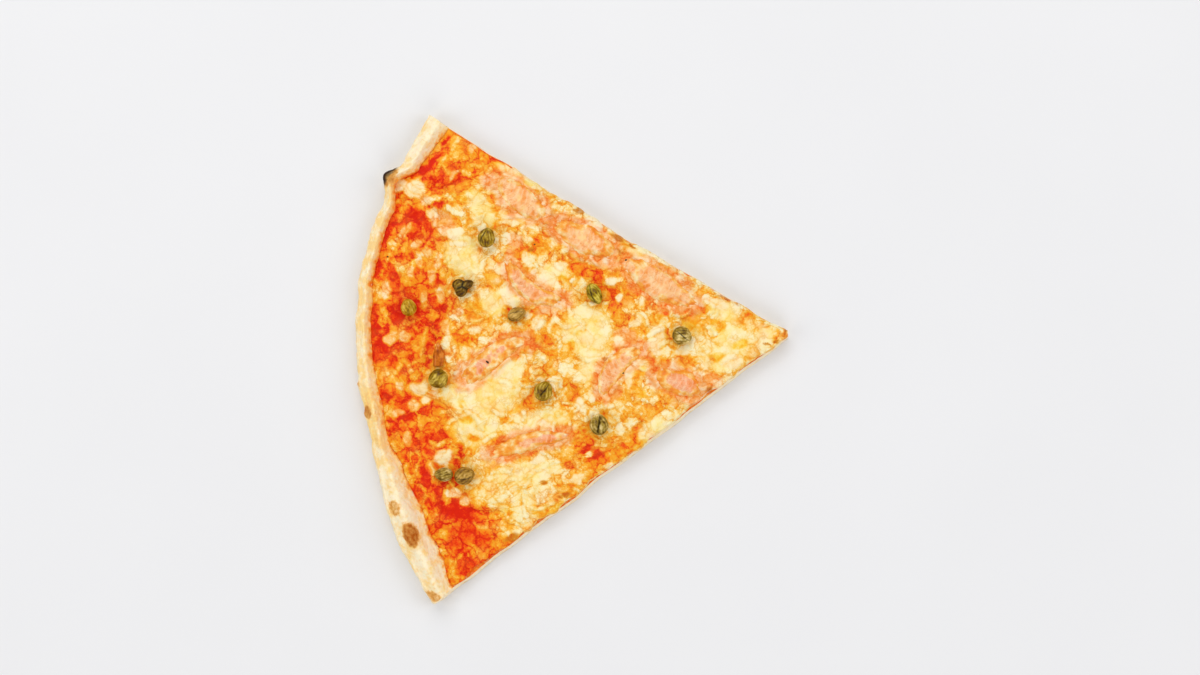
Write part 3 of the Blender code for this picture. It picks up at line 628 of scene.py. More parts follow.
def add(tree, kind, inputs=(), stops=(), out=None, **settings):
    """Adds a node and gives its output: the named one, or else its first. kind in capitals is what a
    Math node does. inputs are values, hex colours and links, by socket or in the order of the
    sockets. stops are the colours of a ramp."""
    node = tree.nodes.new("ShaderNodeMath" if kind.isupper() else "ShaderNode" + kind)
    if kind.isupper():
        node.operation = kind
    if kind == "Mix":
        node.data_type = "RGBA"
    for name, value in settings.items():
        setattr(node, name, value)
    for place, (position, code) in enumerate(stops):
        elements = node.color_ramp.elements
        element = elements[place] if place < 2 else elements.new(position)
        element.position = position
        element.color = (*linear(code), 1.0)
    if not isinstance(inputs, dict):
        inputs = dict(zip(MIX_INPUTS if kind == "Mix" else range(len(inputs)), inputs))
    for socket, value in inputs.items():
        if isinstance(value, bpy.types.NodeSocket):
            tree.links.new(value, node.inputs[socket])
        else:
            node.inputs[socket].default_value = (*linear(value), 1.0) if isinstance(value, str) else value
    return node.outputs[out or (MIX_OUTPUT if kind == "Mix" else 0)]


def new_material(name, roughness, specular, soft=0.0, soft_radius=(1.0, 0.6, 0.3)):
    """A material, its node tree and its shader. soft is how much light passes under its surface."""
    material = bpy.data.materials.new(name)
    material.use_nodes = True
    shader = material.node_tree.nodes["Principled BSDF"]
    for socket, value in (("Roughness", roughness), ("Specular IOR Level", specular), ("Subsurface Weight", soft),
                          ("Subsurface Radius", soft_radius), ("Subsurface Scale", LIGHT_DEPTH)):
        shader.inputs[socket].default_value = value
    return material, material.node_tree, shader


def per(length):
    """A texture's scale for features of a real length."""
    return 1.0 / length


def topping_material(name):
    """Melted mozzarella over baked tomato sauce. Where the cheese is thin the red shows through as
    orange, oil makes it yellow, and thick curds stay cream: one wet, lumpy, mottled surface."""
    material, tree, shader = new_material(name, 0.42, 0.12, 0.04, (1.0, 0.7, 0.4))
    place = add(tree, "TexCoord", out="Object")
    cover, calm, oil, pink, brown = (
        add(tree, "Attribute", out="Fac", attribute_name=name) for name in TRAITS)
    swirl = add(tree, "TexNoise", {"Vector": place, "Scale": per(4.5 * MM), "Detail": 3.0, "Roughness": 0.55})
    centred = add(tree, "VectorMath", (swirl.node.outputs["Color"], (0.5, 0.5, 0.5)), operation="SUBTRACT")
    warped = add(tree, "VectorMath", (centred, (7.0 * MM,) * 3, place), operation="MULTIPLY_ADD")
    lump = add(tree, "TexVoronoi", {"Vector": warped, "Scale": per(4.6 * MM)}, out="Color")
    border = add(tree, "TexVoronoi", {"Vector": warped, "Scale": per(4.6 * MM)}, feature="DISTANCE_TO_EDGE")
    grain = add(tree, "TexNoise", {"Vector": place, "Scale": per(1.0 * MM), "Detail": 4.0, "Roughness": 0.6})
    drift = add(tree, "TexNoise", {"Vector": place, "Scale": per(6.0 * MM), "Detail": 2.0})
    busy = add(tree, "MULTIPLY_ADD", (calm, -0.8, 1.0))
    crease = add(tree, "MapRange", (border, 0.0, 0.2, -0.2, 0.04))
    crease_line = add(tree, "MapRange", (border, 0.02, 0.07, 1.0, 0.0))
    chance = add(tree, "SeparateColor", (lump,))
    lumped = add(tree, "MapRange", (chance, 0.2, 0.7, -0.13, 0.15))
    creased = add(tree, "ADD", (crease, lumped))
    grained = add(tree, "MULTIPLY_ADD", (grain, 0.40, -0.20))
    swung = add(tree, "TexNoise", {"Vector": place, "Scale": per(4.0 * MM), "Detail": 1.5})
    away = add(tree, "SUBTRACT", (swung, 0.5))
    away = add(tree, "ABSOLUTE", (away,))
    fold = add(tree, "MapRange", (away, 0.0, 0.02, -0.12, 0.0))
    fold_line = add(tree, "MapRange", (away, 0.004, 0.017, 1.0, 0.0))
    speck = add(tree, "TexNoise", {"Vector": place, "Scale": per(0.55 * MM), "Detail": 2.0})
    specked = add(tree, "MULTIPLY_ADD", (speck, 0.48, -0.24))
    grained = add(tree, "ADD", (specked, grained))
    folded = add(tree, "ADD", (fold, grained))
    mosaic = add(tree, "ADD", (folded, creased))
    livelier = add(tree, "MULTIPLY_ADD", (cover, 0.3, 0.72))
    lively = add(tree, "MULTIPLY", (busy, livelier))
    mixed = add(tree, "MULTIPLY_ADD", (mosaic, lively, cover))
    melted = add(tree, "ValToRGB", (mixed,), stops=(
        (0.00, "#d82000"), (0.10, "#e83c04"), (0.19, "#ee620a"), (0.29, "#f08412"), (0.41, "#f29c1c"),
        (0.51, "#f4ab2e"), (0.60, "#f6ba4a"), (0.69, "#f8cb70"), (0.80, "#f9dc98"), (1.00, "#faecbc")))
    wrinkle = add(tree, "ValToRGB", (mixed,), stops=(
        (0.0, "#b41400"), (0.3, "#d8500a"), (0.5, "#e0801a"), (0.7, "#d99a2c"), (1.0, "#d8b858")))
    lines = add(tree, "MAXIMUM", (crease_line, fold_line))
    broken = add(tree, "MapRange", (drift, 0.4, 0.62, 0.05, 0.6))
    lined = add(tree, "MULTIPLY", (lines, broken))
    less = add(tree, "MULTIPLY_ADD", (busy, 0.6, 0.4))
    lined = add(tree, "MULTIPLY", (lined, less))
    outlined = add(tree, "Mix", (lined, melted, wrinkle))
    oiled = add(tree, "ValToRGB", (mixed,), stops=(
        (0.0, "#ee7a06"), (0.4, "#f4a414"), (0.65, "#f6c43c"), (0.85, "#f8d868"), (1.0, "#f8e28a")))
    vein = add(tree, "MapRange", (swirl, 0.4, 0.62, 0.1, 1.3))
    oil_share = add(tree, "MULTIPLY", (oil, vein), use_clamp=True)
    with_oil = add(tree, "Mix", (oil_share, outlined, oiled))
    rosy = add(tree, "MapRange", (drift, 0.5, 0.72, 0.0, 0.3))
    rosier = add(tree, "MULTIPLY_ADD", (pink, 0.9, rosy), use_clamp=True)
    rosy_tone = add(tree, "ValToRGB", (mixed,), stops=(
        (0.15, "#ee7020"), (0.4, "#f19446"), (0.6, "#f6b07a"), (0.8, "#f9c99a"), (1.0, "#fadcb8")))
    blush = add(tree, "Mix", (rosier, with_oil, rosy_tone))
    toasted = add(tree, "Mix", (brown, blush, "#b4590f"))
    rough = add(tree, "MapRange", (grain, 0.3, 0.7, 0.3, 0.5))
    height = add(tree, "MULTIPLY", (mosaic, busy))
    dents = add(tree, "Bump", {"Height": height, "Strength": 0.5, "Distance": 0.6 * MM})
    tree.links.new(toasted, shader.inputs["Base Color"])
    tree.links.new(rough, shader.inputs["Roughness"])
    tree.links.new(dents, shader.inputs["Normal"])
    return material


def dough_material(colours):
    """Wheat dough baked on stone: matt, pale and mottled, oily orange at the sauce, toasted in spots,
    with an open crumb at the cuts, painted shade inside its pores, and a floury, browned underside."""
    material, tree, shader = new_material("stone_baked_dough", 0.75, 0.1, 0.1)
    place = add(tree, "TexCoord", out="Object")
    names = ("golden", "stain", "brown", "burnt", "crumb", "pore", "under")
    golden, stain, brown, burnt, crumb, pore, under = (
        add(tree, "Attribute", out="Fac", attribute_name=name) for name in names)
    mottle = add(tree, "TexNoise", {"Vector": place, "Scale": per(4.5 * MM), "Detail": 4.0, "Roughness": 0.65})
    fine = add(tree, "TexNoise", {"Vector": place, "Scale": per(1.2 * MM), "Detail": 4.0})
    mottled = add(tree, "MULTIPLY_ADD", (golden, 0.09, mottle))
    warm = add(tree, "MapRange", (mottled, 0.46, 0.64, 0.0, 1.0))
    skin = add(tree, "Mix", (warm, (*colours.dough, 1), (*colours.dough_warm, 1)))
    stain_noise = add(tree, "MULTIPLY_ADD", (fine, 0.9, -0.45))
    stained_share = add(tree, "ADD", (stain, stain_noise))
    stained_clear = add(tree, "MapRange", (stained_share, 0.15, 0.75, 0.0, 1.0))
    stain_colour = add(tree, "ValToRGB", (stained_share,), stops=(
        (0.2, "#fde8b0"), (0.45, "#fdd67c"), (0.7, "#fbb044"), (0.95, "#f27616")))
    stained = add(tree, "Mix", (stained_clear, skin, stain_colour))
    freckle = add(tree, "MapRange", (fine, 0.54, 0.66, 0.0, 0.5))
    freckled = add(tree, "Mix", (freckle, stained, "#f4d096"))
    brown_share = add(tree, "MULTIPLY_ADD", (fine, 0.9, brown))
    browner = add(tree, "MapRange", (brown_share, 0.62, 1.6, 0.0, 1.0))
    golden_toast = add(tree, "MapRange", (browner, 0.0, 0.5, 0.0, 1.0))
    toast_depth = add(tree, "MapRange", (browner, 0.25, 0.95, 0.0, 1.0))
    toast = add(tree, "Mix", (toast_depth, "#f4ba60", (*colours.dough_brown, 1)))
    browned = add(tree, "Mix", (golden_toast, freckled, toast))
    # Painted shade: the crumb is darker inside its pores, the more so the deeper they are.
    hole = add(tree, "Mix", (pore, (*colours.crumb, 1), "#e0b474"))
    cut = add(tree, "Mix", (crumb, browned, hole))
    bake = add(tree, "TexNoise", {"Vector": place, "Scale": per(11 * MM), "Detail": 5.0, "Roughness": 0.7})
    base_colour = add(tree, "ValToRGB", (bake,), stops=(
        (0.32, "#f3e2c0"), (0.48, "#e6c084"), (0.60, "#c98d45"), (0.72, "#8a5424")))
    below = add(tree, "Mix", (under, cut, base_colour))
    charred = add(tree, "Mix", (burnt, below, (*colours.dough_burnt, 1)))
    dents = add(tree, "Bump", {"Height": fine, "Strength": 0.8, "Distance": 0.35 * MM})
    tree.links.new(charred, shader.inputs["Base Color"])
    tree.links.new(dents, shader.inputs["Normal"])
    return material


def salmon_material():
    """Smoked salmon cooked through: opaque peach flesh in fine bands with pale fat between them,
    filmed with cheese in places, orange where oil and sauce have run over its edges."""
    material, tree, shader = new_material("cooked_smoked_salmon", 0.35, 0.22, 0.1, (1.0, 0.5, 0.25))
    place = add(tree, "TexCoord", out="Object")
    edge, band, rosy = (
        add(tree, "Attribute", out="Fac", attribute_name=name) for name in ("edge", "band", "rosy"))
    patch = add(tree, "TexNoise", {"Vector": place, "Scale": per(3.2 * MM), "Detail": 4.0, "Roughness": 0.55})
    film = add(tree, "TexNoise", {"Vector": place, "Scale": per(5.2 * MM), "Detail": 4.0, "Roughness": 0.6})
    fine = add(tree, "TexNoise", {"Vector": place, "Scale": per(0.7 * MM), "Detail": 3.0})
    peach = add(tree, "ValToRGB", (patch,), stops=(
        (0.30, "#ee8a34"), (0.40, "#f5a65a"), (0.50, "#f8bc7e"), (0.60, "#f9c88e"), (0.74, "#fadca8")))
    pink = add(tree, "ValToRGB", (patch,), stops=(
        (0.30, "#e47430"), (0.40, "#ee8e52"), (0.50, "#f39f76"), (0.60, "#f5ae8a"), (0.74, "#f9caa4")))
    flesh = add(tree, "Mix", (rosy, peach, pink))
    wavy = add(tree, "MULTIPLY_ADD", (fine, 0.4, band))
    turn = add(tree, "MULTIPLY", (wavy, math.tau))
    wave = add(tree, "SINE", (turn,))
    line = add(tree, "MapRange", (wave, 0.4, 1.0, 0.0, 0.35))
    banded = add(tree, "Mix", (line, flesh, "#fcd9ae"))
    away = add(tree, "SUBTRACT", (film, 0.47))
    away = add(tree, "ABSOLUTE", (away,))
    seam = add(tree, "MapRange", (away, 0.0, 0.014, 0.7, 0.0))
    seamed = add(tree, "Mix", (seam, banded, "#e07e2c"))
    filmed = add(tree, "MapRange", (film, 0.57, 0.66, 0.0, 0.8))
    cheesy = add(tree, "Mix", (filmed, seamed, "#f9d08a"))
    ragged = add(tree, "MULTIPLY_ADD", (film, 1.3, edge))
    rim = add(tree, "MapRange", (ragged, 1.3, 1.42, 0.0, 0.95))
    spread = add(tree, "MULTIPLY_ADD", (patch, 2.0, -0.5))
    glaze = add(tree, "ValToRGB", (spread,), stops=(
        (0.2, "#ee8420"), (0.4, "#f3a02c"), (0.52, "#f6b658"), (0.66, "#f9cf88"), (0.85, "#fae6b0")))
    glazed = add(tree, "Mix", (rim, cheesy, glaze))
    dents = add(tree, "Bump", {"Height": patch, "Strength": 0.5, "Distance": 0.8 * MM})
    tree.links.new(glazed, shader.inputs["Base Color"])
    tree.links.new(dents, shader.inputs["Normal"])
    return material


def caper_material(name, dark, middle, pale):
    """A pickled bud: wet olive skin with paler veins and speckles, and painted shade darkening the seams between
    its closed leaves.
    """
    material, tree, shader = new_material(name, 0.4, 0.06)
    place = add(tree, "TexCoord", out="Object")
    groove, rib = (add(tree, "Attribute", out="Fac", attribute_name=name) for name in ("groove", "rib"))
    patch = add(tree, "TexNoise", {"Vector": place, "Scale": per(3.0 * MM), "Detail": 1.0})
    speckle = add(tree, "TexNoise", {"Vector": place, "Scale": per(0.8 * MM), "Detail": 2.0})
    veined = add(tree, "MULTIPLY_ADD", (speckle, 0.5, rib))
    tone = add(tree, "MULTIPLY_ADD", (patch, 1.1, veined))
    shade = add(tree, "SUBTRACT", (tone, 0.3))
    skin = add(tree, "ValToRGB", (shade,), stops=((0.22, dark), (0.5, middle), (0.85, pale)))
    # Painted shade: the seams between the leaves are darkened by how deep they are.
    seam = add(tree, "Mix", (groove, skin, "#241a05"))
    tree.links.new(seam, shader.inputs["Base Color"])
    shader.inputs["Coat Weight"].default_value = 0.22
    shader.inputs["Coat Roughness"].default_value = 0.1
    return material


def finished(name, bm, material, nodes, sharp=None):
    """The piece as an object that rides on the slice and stands for its solids."""
    mesh = bpy.data.meshes.new(name)
    bm.to_mesh(mesh)
    bm.free()
    mesh.shade_smooth()
    if sharp:
        mesh.set_sharp_from_angle(angle=math.radians(sharp))
    mesh.materials.append(material)
    obj = bpy.data.objects.new(name, mesh)
    bpy.context.scene.collection.objects.link(obj)
    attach(obj, "root")
    if nodes:
        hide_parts(*nodes)
    return obj


def give(obj, **values):
    """Stores one number for each vertex under each name, for the material to read."""
    for name, numbers in values.items():
        attribute = obj.data.attributes.new(name, "FLOAT", "POINT")
        attribute.data.foreach_set("value", np.asarray(numbers, dtype=np.float32))


def triangle_grid(rows):
    """A triangle from the tip to the rim, cut into rows of equal triangles. A point's x is its share
    of the way from the tip, and its y is that share times the share across."""
    bm = bmesh.new()
    corners = [bm.verts.new(place) for place in ((0, 0, 0), (1, -1, 0), (1, 1, 0))]
    bm.faces.new(corners)
    bmesh.ops.subdivide_edges(bm, edges=bm.edges[:], cuts=rows - 1, use_grid_fill=True)
    return bm


def close_below(bm, steps):
    """Gives a flat grid walls down to height 0 and a bottom. Its own points are then at height 1."""
    bmesh.ops.translate(bm, verts=bm.verts[:], vec=(0, 0, 1))
    border = [edge for edge in bm.edges if edge.is_boundary]
    made = bmesh.ops.extrude_edge_only(bm, edges=border)["geom"]
    lower = [item for item in made if isinstance(item, bmesh.types.BMVert)]
    bmesh.ops.translate(bm, verts=lower, vec=(0, 0, -1))
    upright = [edge for edge in bm.edges if abs(edge.verts[0].co.z - edge.verts[1].co.z) > 0.5]
    foot = [edge for edge in bm.edges if edge.is_boundary]
    bmesh.ops.edgeloop_fill(bm, edges=foot)
    bmesh.ops.subdivide_edges(bm, edges=upright, cuts=steps - 1)


def shares_of(bm):
    """Each vertex with its share outward, share across and share of the height."""
    for vert in bm.verts:
        out, beside, height = vert.co
        across = beside / out if out > 1e-6 else 0.0
        yield vert, out, max(-1.0, min(1.0, across)), height


def flat_arrays(points):
    """The x and y of a list of points, in mm."""
    return (np.array([point.x for point in points]) / MM, np.array([point.y for point in points]) / MM)


# The cheese runs over the cut a little way down, and its top edge is rounded off there. Its least
# height above its underside, and that at its ragged edge.
CHEESE_LEAST_HEIGHT = 0.45 * MM
CHEESE_EDGE_HEIGHT = 0.25 * MM
# How much cheese the walls at the cuts show.
CHEESE_WALL_COVER = 0.66
SAUCE_WALL_COVER = 0.26
# How far the sauce runs past the foot of the rim, and in under the cheese.
SAUCE_PAST_FOOT = 0.6 * MM
SAUCE_UNDER_CHEESE = 2.0 * MM
CHEESE_DRIP = 1.2 * MM
CHEESE_SAG = 1.4 * MM
SHOULDER_DROP = 0.8 * MM
SHOULDER_WIDTH = 2.6 * MM
UPPER_EDGE_COVER = 0.22


def make_cheese(sizes):
    """The melted cheese, over the whole slice up to its ragged edge."""
    bm = triangle_grid(CHEESE_ROWS)
    close_below(bm, WALL_STEPS)
    flat, tops, bottoms, levels, insides, walls, shoulders, sides = [], [], [], [], [], [], [], []
    bottom = DOUGH_TOP + SAUCE_THICKNESS + 2 * LAYER_GAP - CLOSED_GAP
    for vert, out, across, height in shares_of(bm):
        reach = cheese_radius(angle_at(across)) - LAYER_GAP
        radius = reach * out
        point = topping_point(radius, across)
        inside = float(eased((reach - radius) / CHEESE_EDGE_BAND))
        body = CHEESE_EDGE_THICKNESS + (CHEESE_THICKNESS - CHEESE_EDGE_THICKNESS) * inside
        lumps = waves(point, CHEESE_POOL, 3.0) + 0.6 * waves(point, CHEESE_LUMP, 5.0)
        thickness = max(CHEESE_LEAST_THICKNESS, body + CHEESE_RELIEF * lumps * (0.35 + 0.65 * inside))
        from_cut = radius * math.sin(math.radians(abs(angle_at(math.copysign(1, across)) - angle_at(across))))
        shoulders.append(SHOULDER_DROP * (1 - float(eased(from_cut / SHOULDER_WIDTH))) * inside)
        at_cut = abs(across) > AT_CUT
        walls.append(cut_side(across)[1] if at_cut else Vector())
        flat.append(point)
        tops.append(bottom + CLOSED_GAP + thickness)
        bottoms.append(bottom)
        levels.append(height)
        insides.append(inside)
        sides.append(across)
    x, y = flat_arrays(flat)
    insides, levels = np.array(insides), np.array(levels)
    base = SAUCE_BASE_COVER + (CHEESE_BASE_COVER - SAUCE_BASE_COVER) * eased(insides * 1.6)
    base += UPPER_EDGE_COVER * np.array(shoulders) / SHOULDER_DROP * (0.5 + 0.5 * np.sign(np.array(sides)))
    traits, relief = paint_toppings(x, y, base, sizes.curd_size / MM)
    drips = 0.5 + 0.5 * noise_at(x, y, 5.0, 41.0)
    tops = np.array(tops) + relief * sizes.cheese_relief * (0.25 + 0.75 * insides) - np.array(shoulders)
    tops = np.maximum(tops, np.array(bottoms) + CHEESE_LEAST_HEIGHT)
    edge_top = bottom + CLOSED_GAP + CHEESE_EDGE_HEIGHT
    tops = edge_top + (tops - edge_top) * eased(insides * 4 + 0.25)
    for place, vert in enumerate(bm.verts):
        level, low = levels[place], bottoms[place]
        over = walls[place] * CHEESE_DRIP * drips[place]
        over *= math.sin(math.pi * min(1.0, level + 0.35)) * (level < 0.99)
        sag = CHEESE_SAG * drips[place] * (1 - level) * (walls[place].length > 0)
        vert.co = flat[place] + over + Vector((0, 0, low + (tops[place] - low) * level - sag))
    bmesh.ops.recalc_face_normals(bm, faces=bm.faces[:])
    cheese = finished("cheese", bm, topping_material("melted_mozzarella"), ["melted_cheese"])
    traits["cover"] = np.where(levels < 0.99, np.maximum(traits["cover"], CHEESE_WALL_COVER), traits["cover"])
    give(cheese, **traits)
    return cheese


def make_sauce(sizes):
    """The tomato sauce: hidden under the cheese, bare, clotted and partly filmed with cheese outside it."""
    bm = bmesh.new()
    rows = SAUCE_COVERED_ROWS + SAUCE_BARE_ROWS
    bmesh.ops.create_grid(bm, x_segments=rows, y_segments=SAUCE_ACROSS, size=1.0)
    for vert in bm.verts:
        out = (vert.co.x + 1) / 2
        vert.co = Vector((max(out, 1e-4), vert.co.y * max(out, 1e-4), 0.0))
    close_below(bm, 2)
    flat, heights, bares, levels = [], [], [], []
    bottom = DOUGH_TOP + LAYER_GAP - CLOSED_GAP
    for vert, out, across, height in shares_of(bm):
        angle = angle_at(across)
        row = out * rows
        edge = inner_radius(angle) + SAUCE_PAST_FOOT
        covered = cheese_radius(angle) - SAUCE_UNDER_CHEESE
        bare = max(0.0, (row - SAUCE_COVERED_ROWS) / SAUCE_BARE_ROWS)
        radius = covered * min(1.0, row / SAUCE_COVERED_ROWS) + (edge - covered) * bare
        point = topping_point(radius, across)
        relief = max(0.0, BARE_SAUCE_RELIEF * (0.8 + waves(point, SAUCE_GRAIN, 1.0)))
        for x, y, size, high in SCRAPS:
            relief += high * MM * bump(math.hypot(point.x - x * MM, point.y - y * MM), size * MM)
        thinning = SAUCE_FOOT_THINNING * float(eased((bare - 0.7) / 0.3))
        heights.append(SAUCE_THICKNESS + CLOSED_GAP + relief * math.sin(math.pi * bare) - thinning)
        flat.append(point)
        bares.append(bare)
        levels.append(height)
    x, y = flat_arrays(flat)
    bares, levels = np.array(bares), np.array(levels)
    base = np.full(len(x), SAUCE_BASE_COVER) + 0.12 * eased((bares - 0.8) / 0.2)
    traits, relief = paint_toppings(x, y, base, sizes.curd_size / MM)
    heights = np.array(heights) + relief * sizes.sauce_relief * eased(bares * 8)
    for place, vert in enumerate(bm.verts):
        vert.co = flat[place] + Vector((0, 0, bottom + heights[place] * levels[place]))
    bmesh.ops.recalc_face_normals(bm, faces=bm.faces[:])
    sauce = finished("sauce", bm, topping_material("baked_tomato_sauce"), ["tomato_sauce"])
    traits["cover"] = np.where(levels < 0.99, SAUCE_WALL_COVER, traits["cover"])
    give(sauce, **traits)
    return sauce


# Spots on the rim: place seen from above, half length, half width, direction and strength.
RIM_BROWN = (
    (-65.3, -54.7, 3.2, 2.6, -60, 0.6), (-59.3, -64.4, 5.0, 3.0, -70, 0.95), (-75.8, -19.3, 2.8, 1.7, -75, 0.8),
    (-67.2, 67.6, 4.2, 2.0, 52, 0.7), (-50.8, -88.0, 4.0, 2.0, -30, 0.6), (-79.5, -9.0, 1.6, 1.0, 90, 0.5),
    (-62.0, -46.0, 2.0, 1.4, -60, 0.25), (-72.0, -30.0, 3.0, 1.2, -70, 0.3),
)
RIM_BURNT = ((-69.4, 69.6, 6.2, 3.0, 52, 1.0),)
RIM_STAINS = (
    (-74.0, -17.0, 7.0, 4.0, -80, 0.5), (-75.0, -27.0, 5.0, 3.0, -70, 0.4), (-52.0, 84.0, 6.0, 3.0, 45, 0.25),
    (-49.0, -84.0, 5.0, 3.0, 20, 0.35),
)
STAIN_REACH = 2.6
STAIN_STRENGTH = 1.05
STAIN_RAGGEDNESS = 0.45
CRUMB_PORE = 2.3 * MM
PORE_STRETCH = 1.9


def spots_at(x, y, spots):
    """The strongest of these soft spots at each place."""
    found = np.zeros(len(x))
    for *place, strength in spots:
        found = np.maximum(found, strength * share_inside(x, y, place))
    return found


def make_crust(sizes, colours):
    """The dough with its puffed rim, its open crumb at the cuts and its baked underside."""
    bm = triangle_grid(DOUGH_ROWS + RIM_ROWS)
    top = bmesh.ops.extrude_face_region(bm, geom=bm.faces[:])["geom"]
    bmesh.ops.translate(bm, verts=[item for item in top if isinstance(item, bmesh.types.BMVert)], vec=(0, 0, 1))
    upright = [edge for edge in bm.edges if abs(edge.verts[0].co.z - edge.verts[1].co.z) > 0.5]
    bmesh.ops.subdivide_edges(bm, edges=upright, cuts=WALL_LEVELS - 1)
    foot = DOUGH_ROWS / (DOUGH_ROWS + RIM_ROWS) - NEARLY_NONE
    seen = []
    for edge in bm.edges:
        ends = [vert.co for vert in edge.verts]
        on_rim = all(end.z > NEARLY_ALL and end.x > foot for end in ends)
        on_wall = all(end.x > NEARLY_ALL for end in ends)
        on_cut = any(all(abs(end.y - side * end.x) < 1e-4 for end in ends) for side in (-1, 1))
        if on_rim or on_wall or on_cut:
            seen.append(edge)
    bmesh.ops.subdivide_edges(bm, edges=seen, cuts=CRUST_CUTS, use_grid_fill=True)
    bmesh.ops.poke(bm, faces=[face for face in bm.faces if len(face.verts) > 4])
    points, on_rims, shares = [], [], []
    for vert, out, across, height in shares_of(bm):
        point, on_rim = crust_point(out, across, height)
        points.append(point)
        on_rims.append(on_rim)
        shares.append((out, across, height))
    for vert, point in zip(bm.verts, points):
        vert.co = point
    bmesh.ops.recalc_face_normals(bm, faces=bm.faces[:])
    bm.normal_update()
    x, y = flat_arrays(points)
    on_rims = np.array(on_rims)
    outs, acrosses, heights = (np.array(column) for column in zip(*shares))
    at_cut = (np.abs(acrosses) > AT_CUT) & (heights < NEARLY_ALL) & (heights > NEARLY_NONE)
    outside = outs > NEARLY_ALL
    skin = ((on_rims > 0) & (heights > NEARLY_ALL)) | outside
    pores = np.zeros(len(points))
    for place, vert in enumerate(bm.verts):
        point = points[place]
        if at_cut[place]:
            spread = Vector((point.x, point.y, point.z * PORE_STRETCH)) / CRUMB_PORE
            near = noise.voronoi(spread)[0][0] + 0.22 * noise.noise(spread * 0.6) + 0.15 * noise.noise(spread * 3)
            rough = noise.noise(point / (0.7 * MM))
            edge = min(1.0, 4 * heights[place], 4 * (1 - heights[place]))
            # Each pore's depth share hollows the cut and also sets the painted shade inside the pore.
            pores[place] = max(0.0, min(1.0, 1.25 - near * 2.6)) * edge
            vert.co = point - vert.normal * sizes.pore_depth * (pores[place] + 0.15 * rough)
        elif skin[place] and heights[place] > NEARLY_NONE:
            small = noise.fractal(point / (1.5 * MM), 0.8, 2.0, 2) + 0.8 * noise.noise(point / (3.4 * MM))
            vert.co = point + vert.normal * sizes.rim_relief * small
    crust = finished("crust_dough", bm, dough_material(colours), ["crust"], sharp=70)
    ragged = noise_at(x, y, 3.0, 51.0, 3)
    angles = (CUT_ANGLES[0] + CUT_ANGLES[1]) / 2 + acrosses * (CUT_ANGLES[1] - CUT_ANGLES[0]) / 2
    past_sauce = on_rims * np.array([read(RIM_WIDTH, angle) for angle in angles])
    stain = np.clip(STAIN_STRENGTH - past_sauce / STAIN_REACH + STAIN_RAGGEDNESS * ragged * (on_rims < 0.8), 0, 1)
    stain *= (on_rims < 0.75) * (heights > NEARLY_ALL)
    stain = np.maximum(stain, spots_at(x + ragged, y, RIM_STAINS) * (heights > 0.3))
    fading = np.where(outside | at_cut, np.clip(1 - heights * 7, 0, 1) * 0.8, 0.0)
    under = np.where(heights < NEARLY_NONE, 1.0, fading)
    burnt = spots_at(x + 0.4 * ragged, y, RIM_BURNT) * eased((heights + 0.15 * ragged - 0.35) / 0.3)
    burnt *= eased((on_rims + 0.02 * ragged - 0.965) / 0.03)
    brown = spots_at(x + 0.5 * ragged, y, RIM_BROWN) * eased((heights + 0.2 * ragged - 0.15) / 0.3)
    golden = eased((angles + 22) / 8) * eased((24 - angles) / 5)
    give(crust, golden=golden, stain=stain, brown=brown, burnt=burnt, crumb=at_cut * 1.0, pore=pores, under=under)
    return crust


FLAKE_SEGMENTS = 96
FLAKE_RINGS = 36
FLAKE_BAND_HEIGHT = 0.1 * MM
FLAKE_FRAY = 0.10
# How rosy each flake is at its two ends.
FLAKE_ROSINESS = ((0.05, 0.0), (0.0, 0.1), (0.1, 0.05), (0.5, 0.3), (1.0, 0.7), (0.0, 1.0), (0.2, 0.3), (0.5, 0.9))
# How far orange oil has spread over each flake at its two ends.
FLAKE_GLAZE = ((0.0, 0.0), (0.0, 0.1), (0.0, 0.0), (0.1, 0.2), (0.3, 0.2), (0.75, 0.0), (0.1, 0.0), (0.25, 0.0))
FLAKE_EDGE = 4.0
FLAKE_SINK = 0.7 * MM
FLAKE_CRINKLE = 0.2 * MM
FLAKE_CRINKLE_LENGTH = 1.8 * MM
BAND_SLANT = 2.2


def surface_under(objects):
    """A function that gives the highest surface of these objects at a place seen from above."""
    graph = bpy.context.evaluated_depsgraph_get()
    trees = [BVHTree.FromObject(obj, graph) for obj in objects]
    start = CAD_BOX[1].z * 2

    def height(x, y):
        hits = (tree.ray_cast(Vector((x, y, start)), Vector((0, 0, -1)))[0] for tree in trees)
        return max((hit.z for hit in hits if hit is not None), default=0.0)

    return height


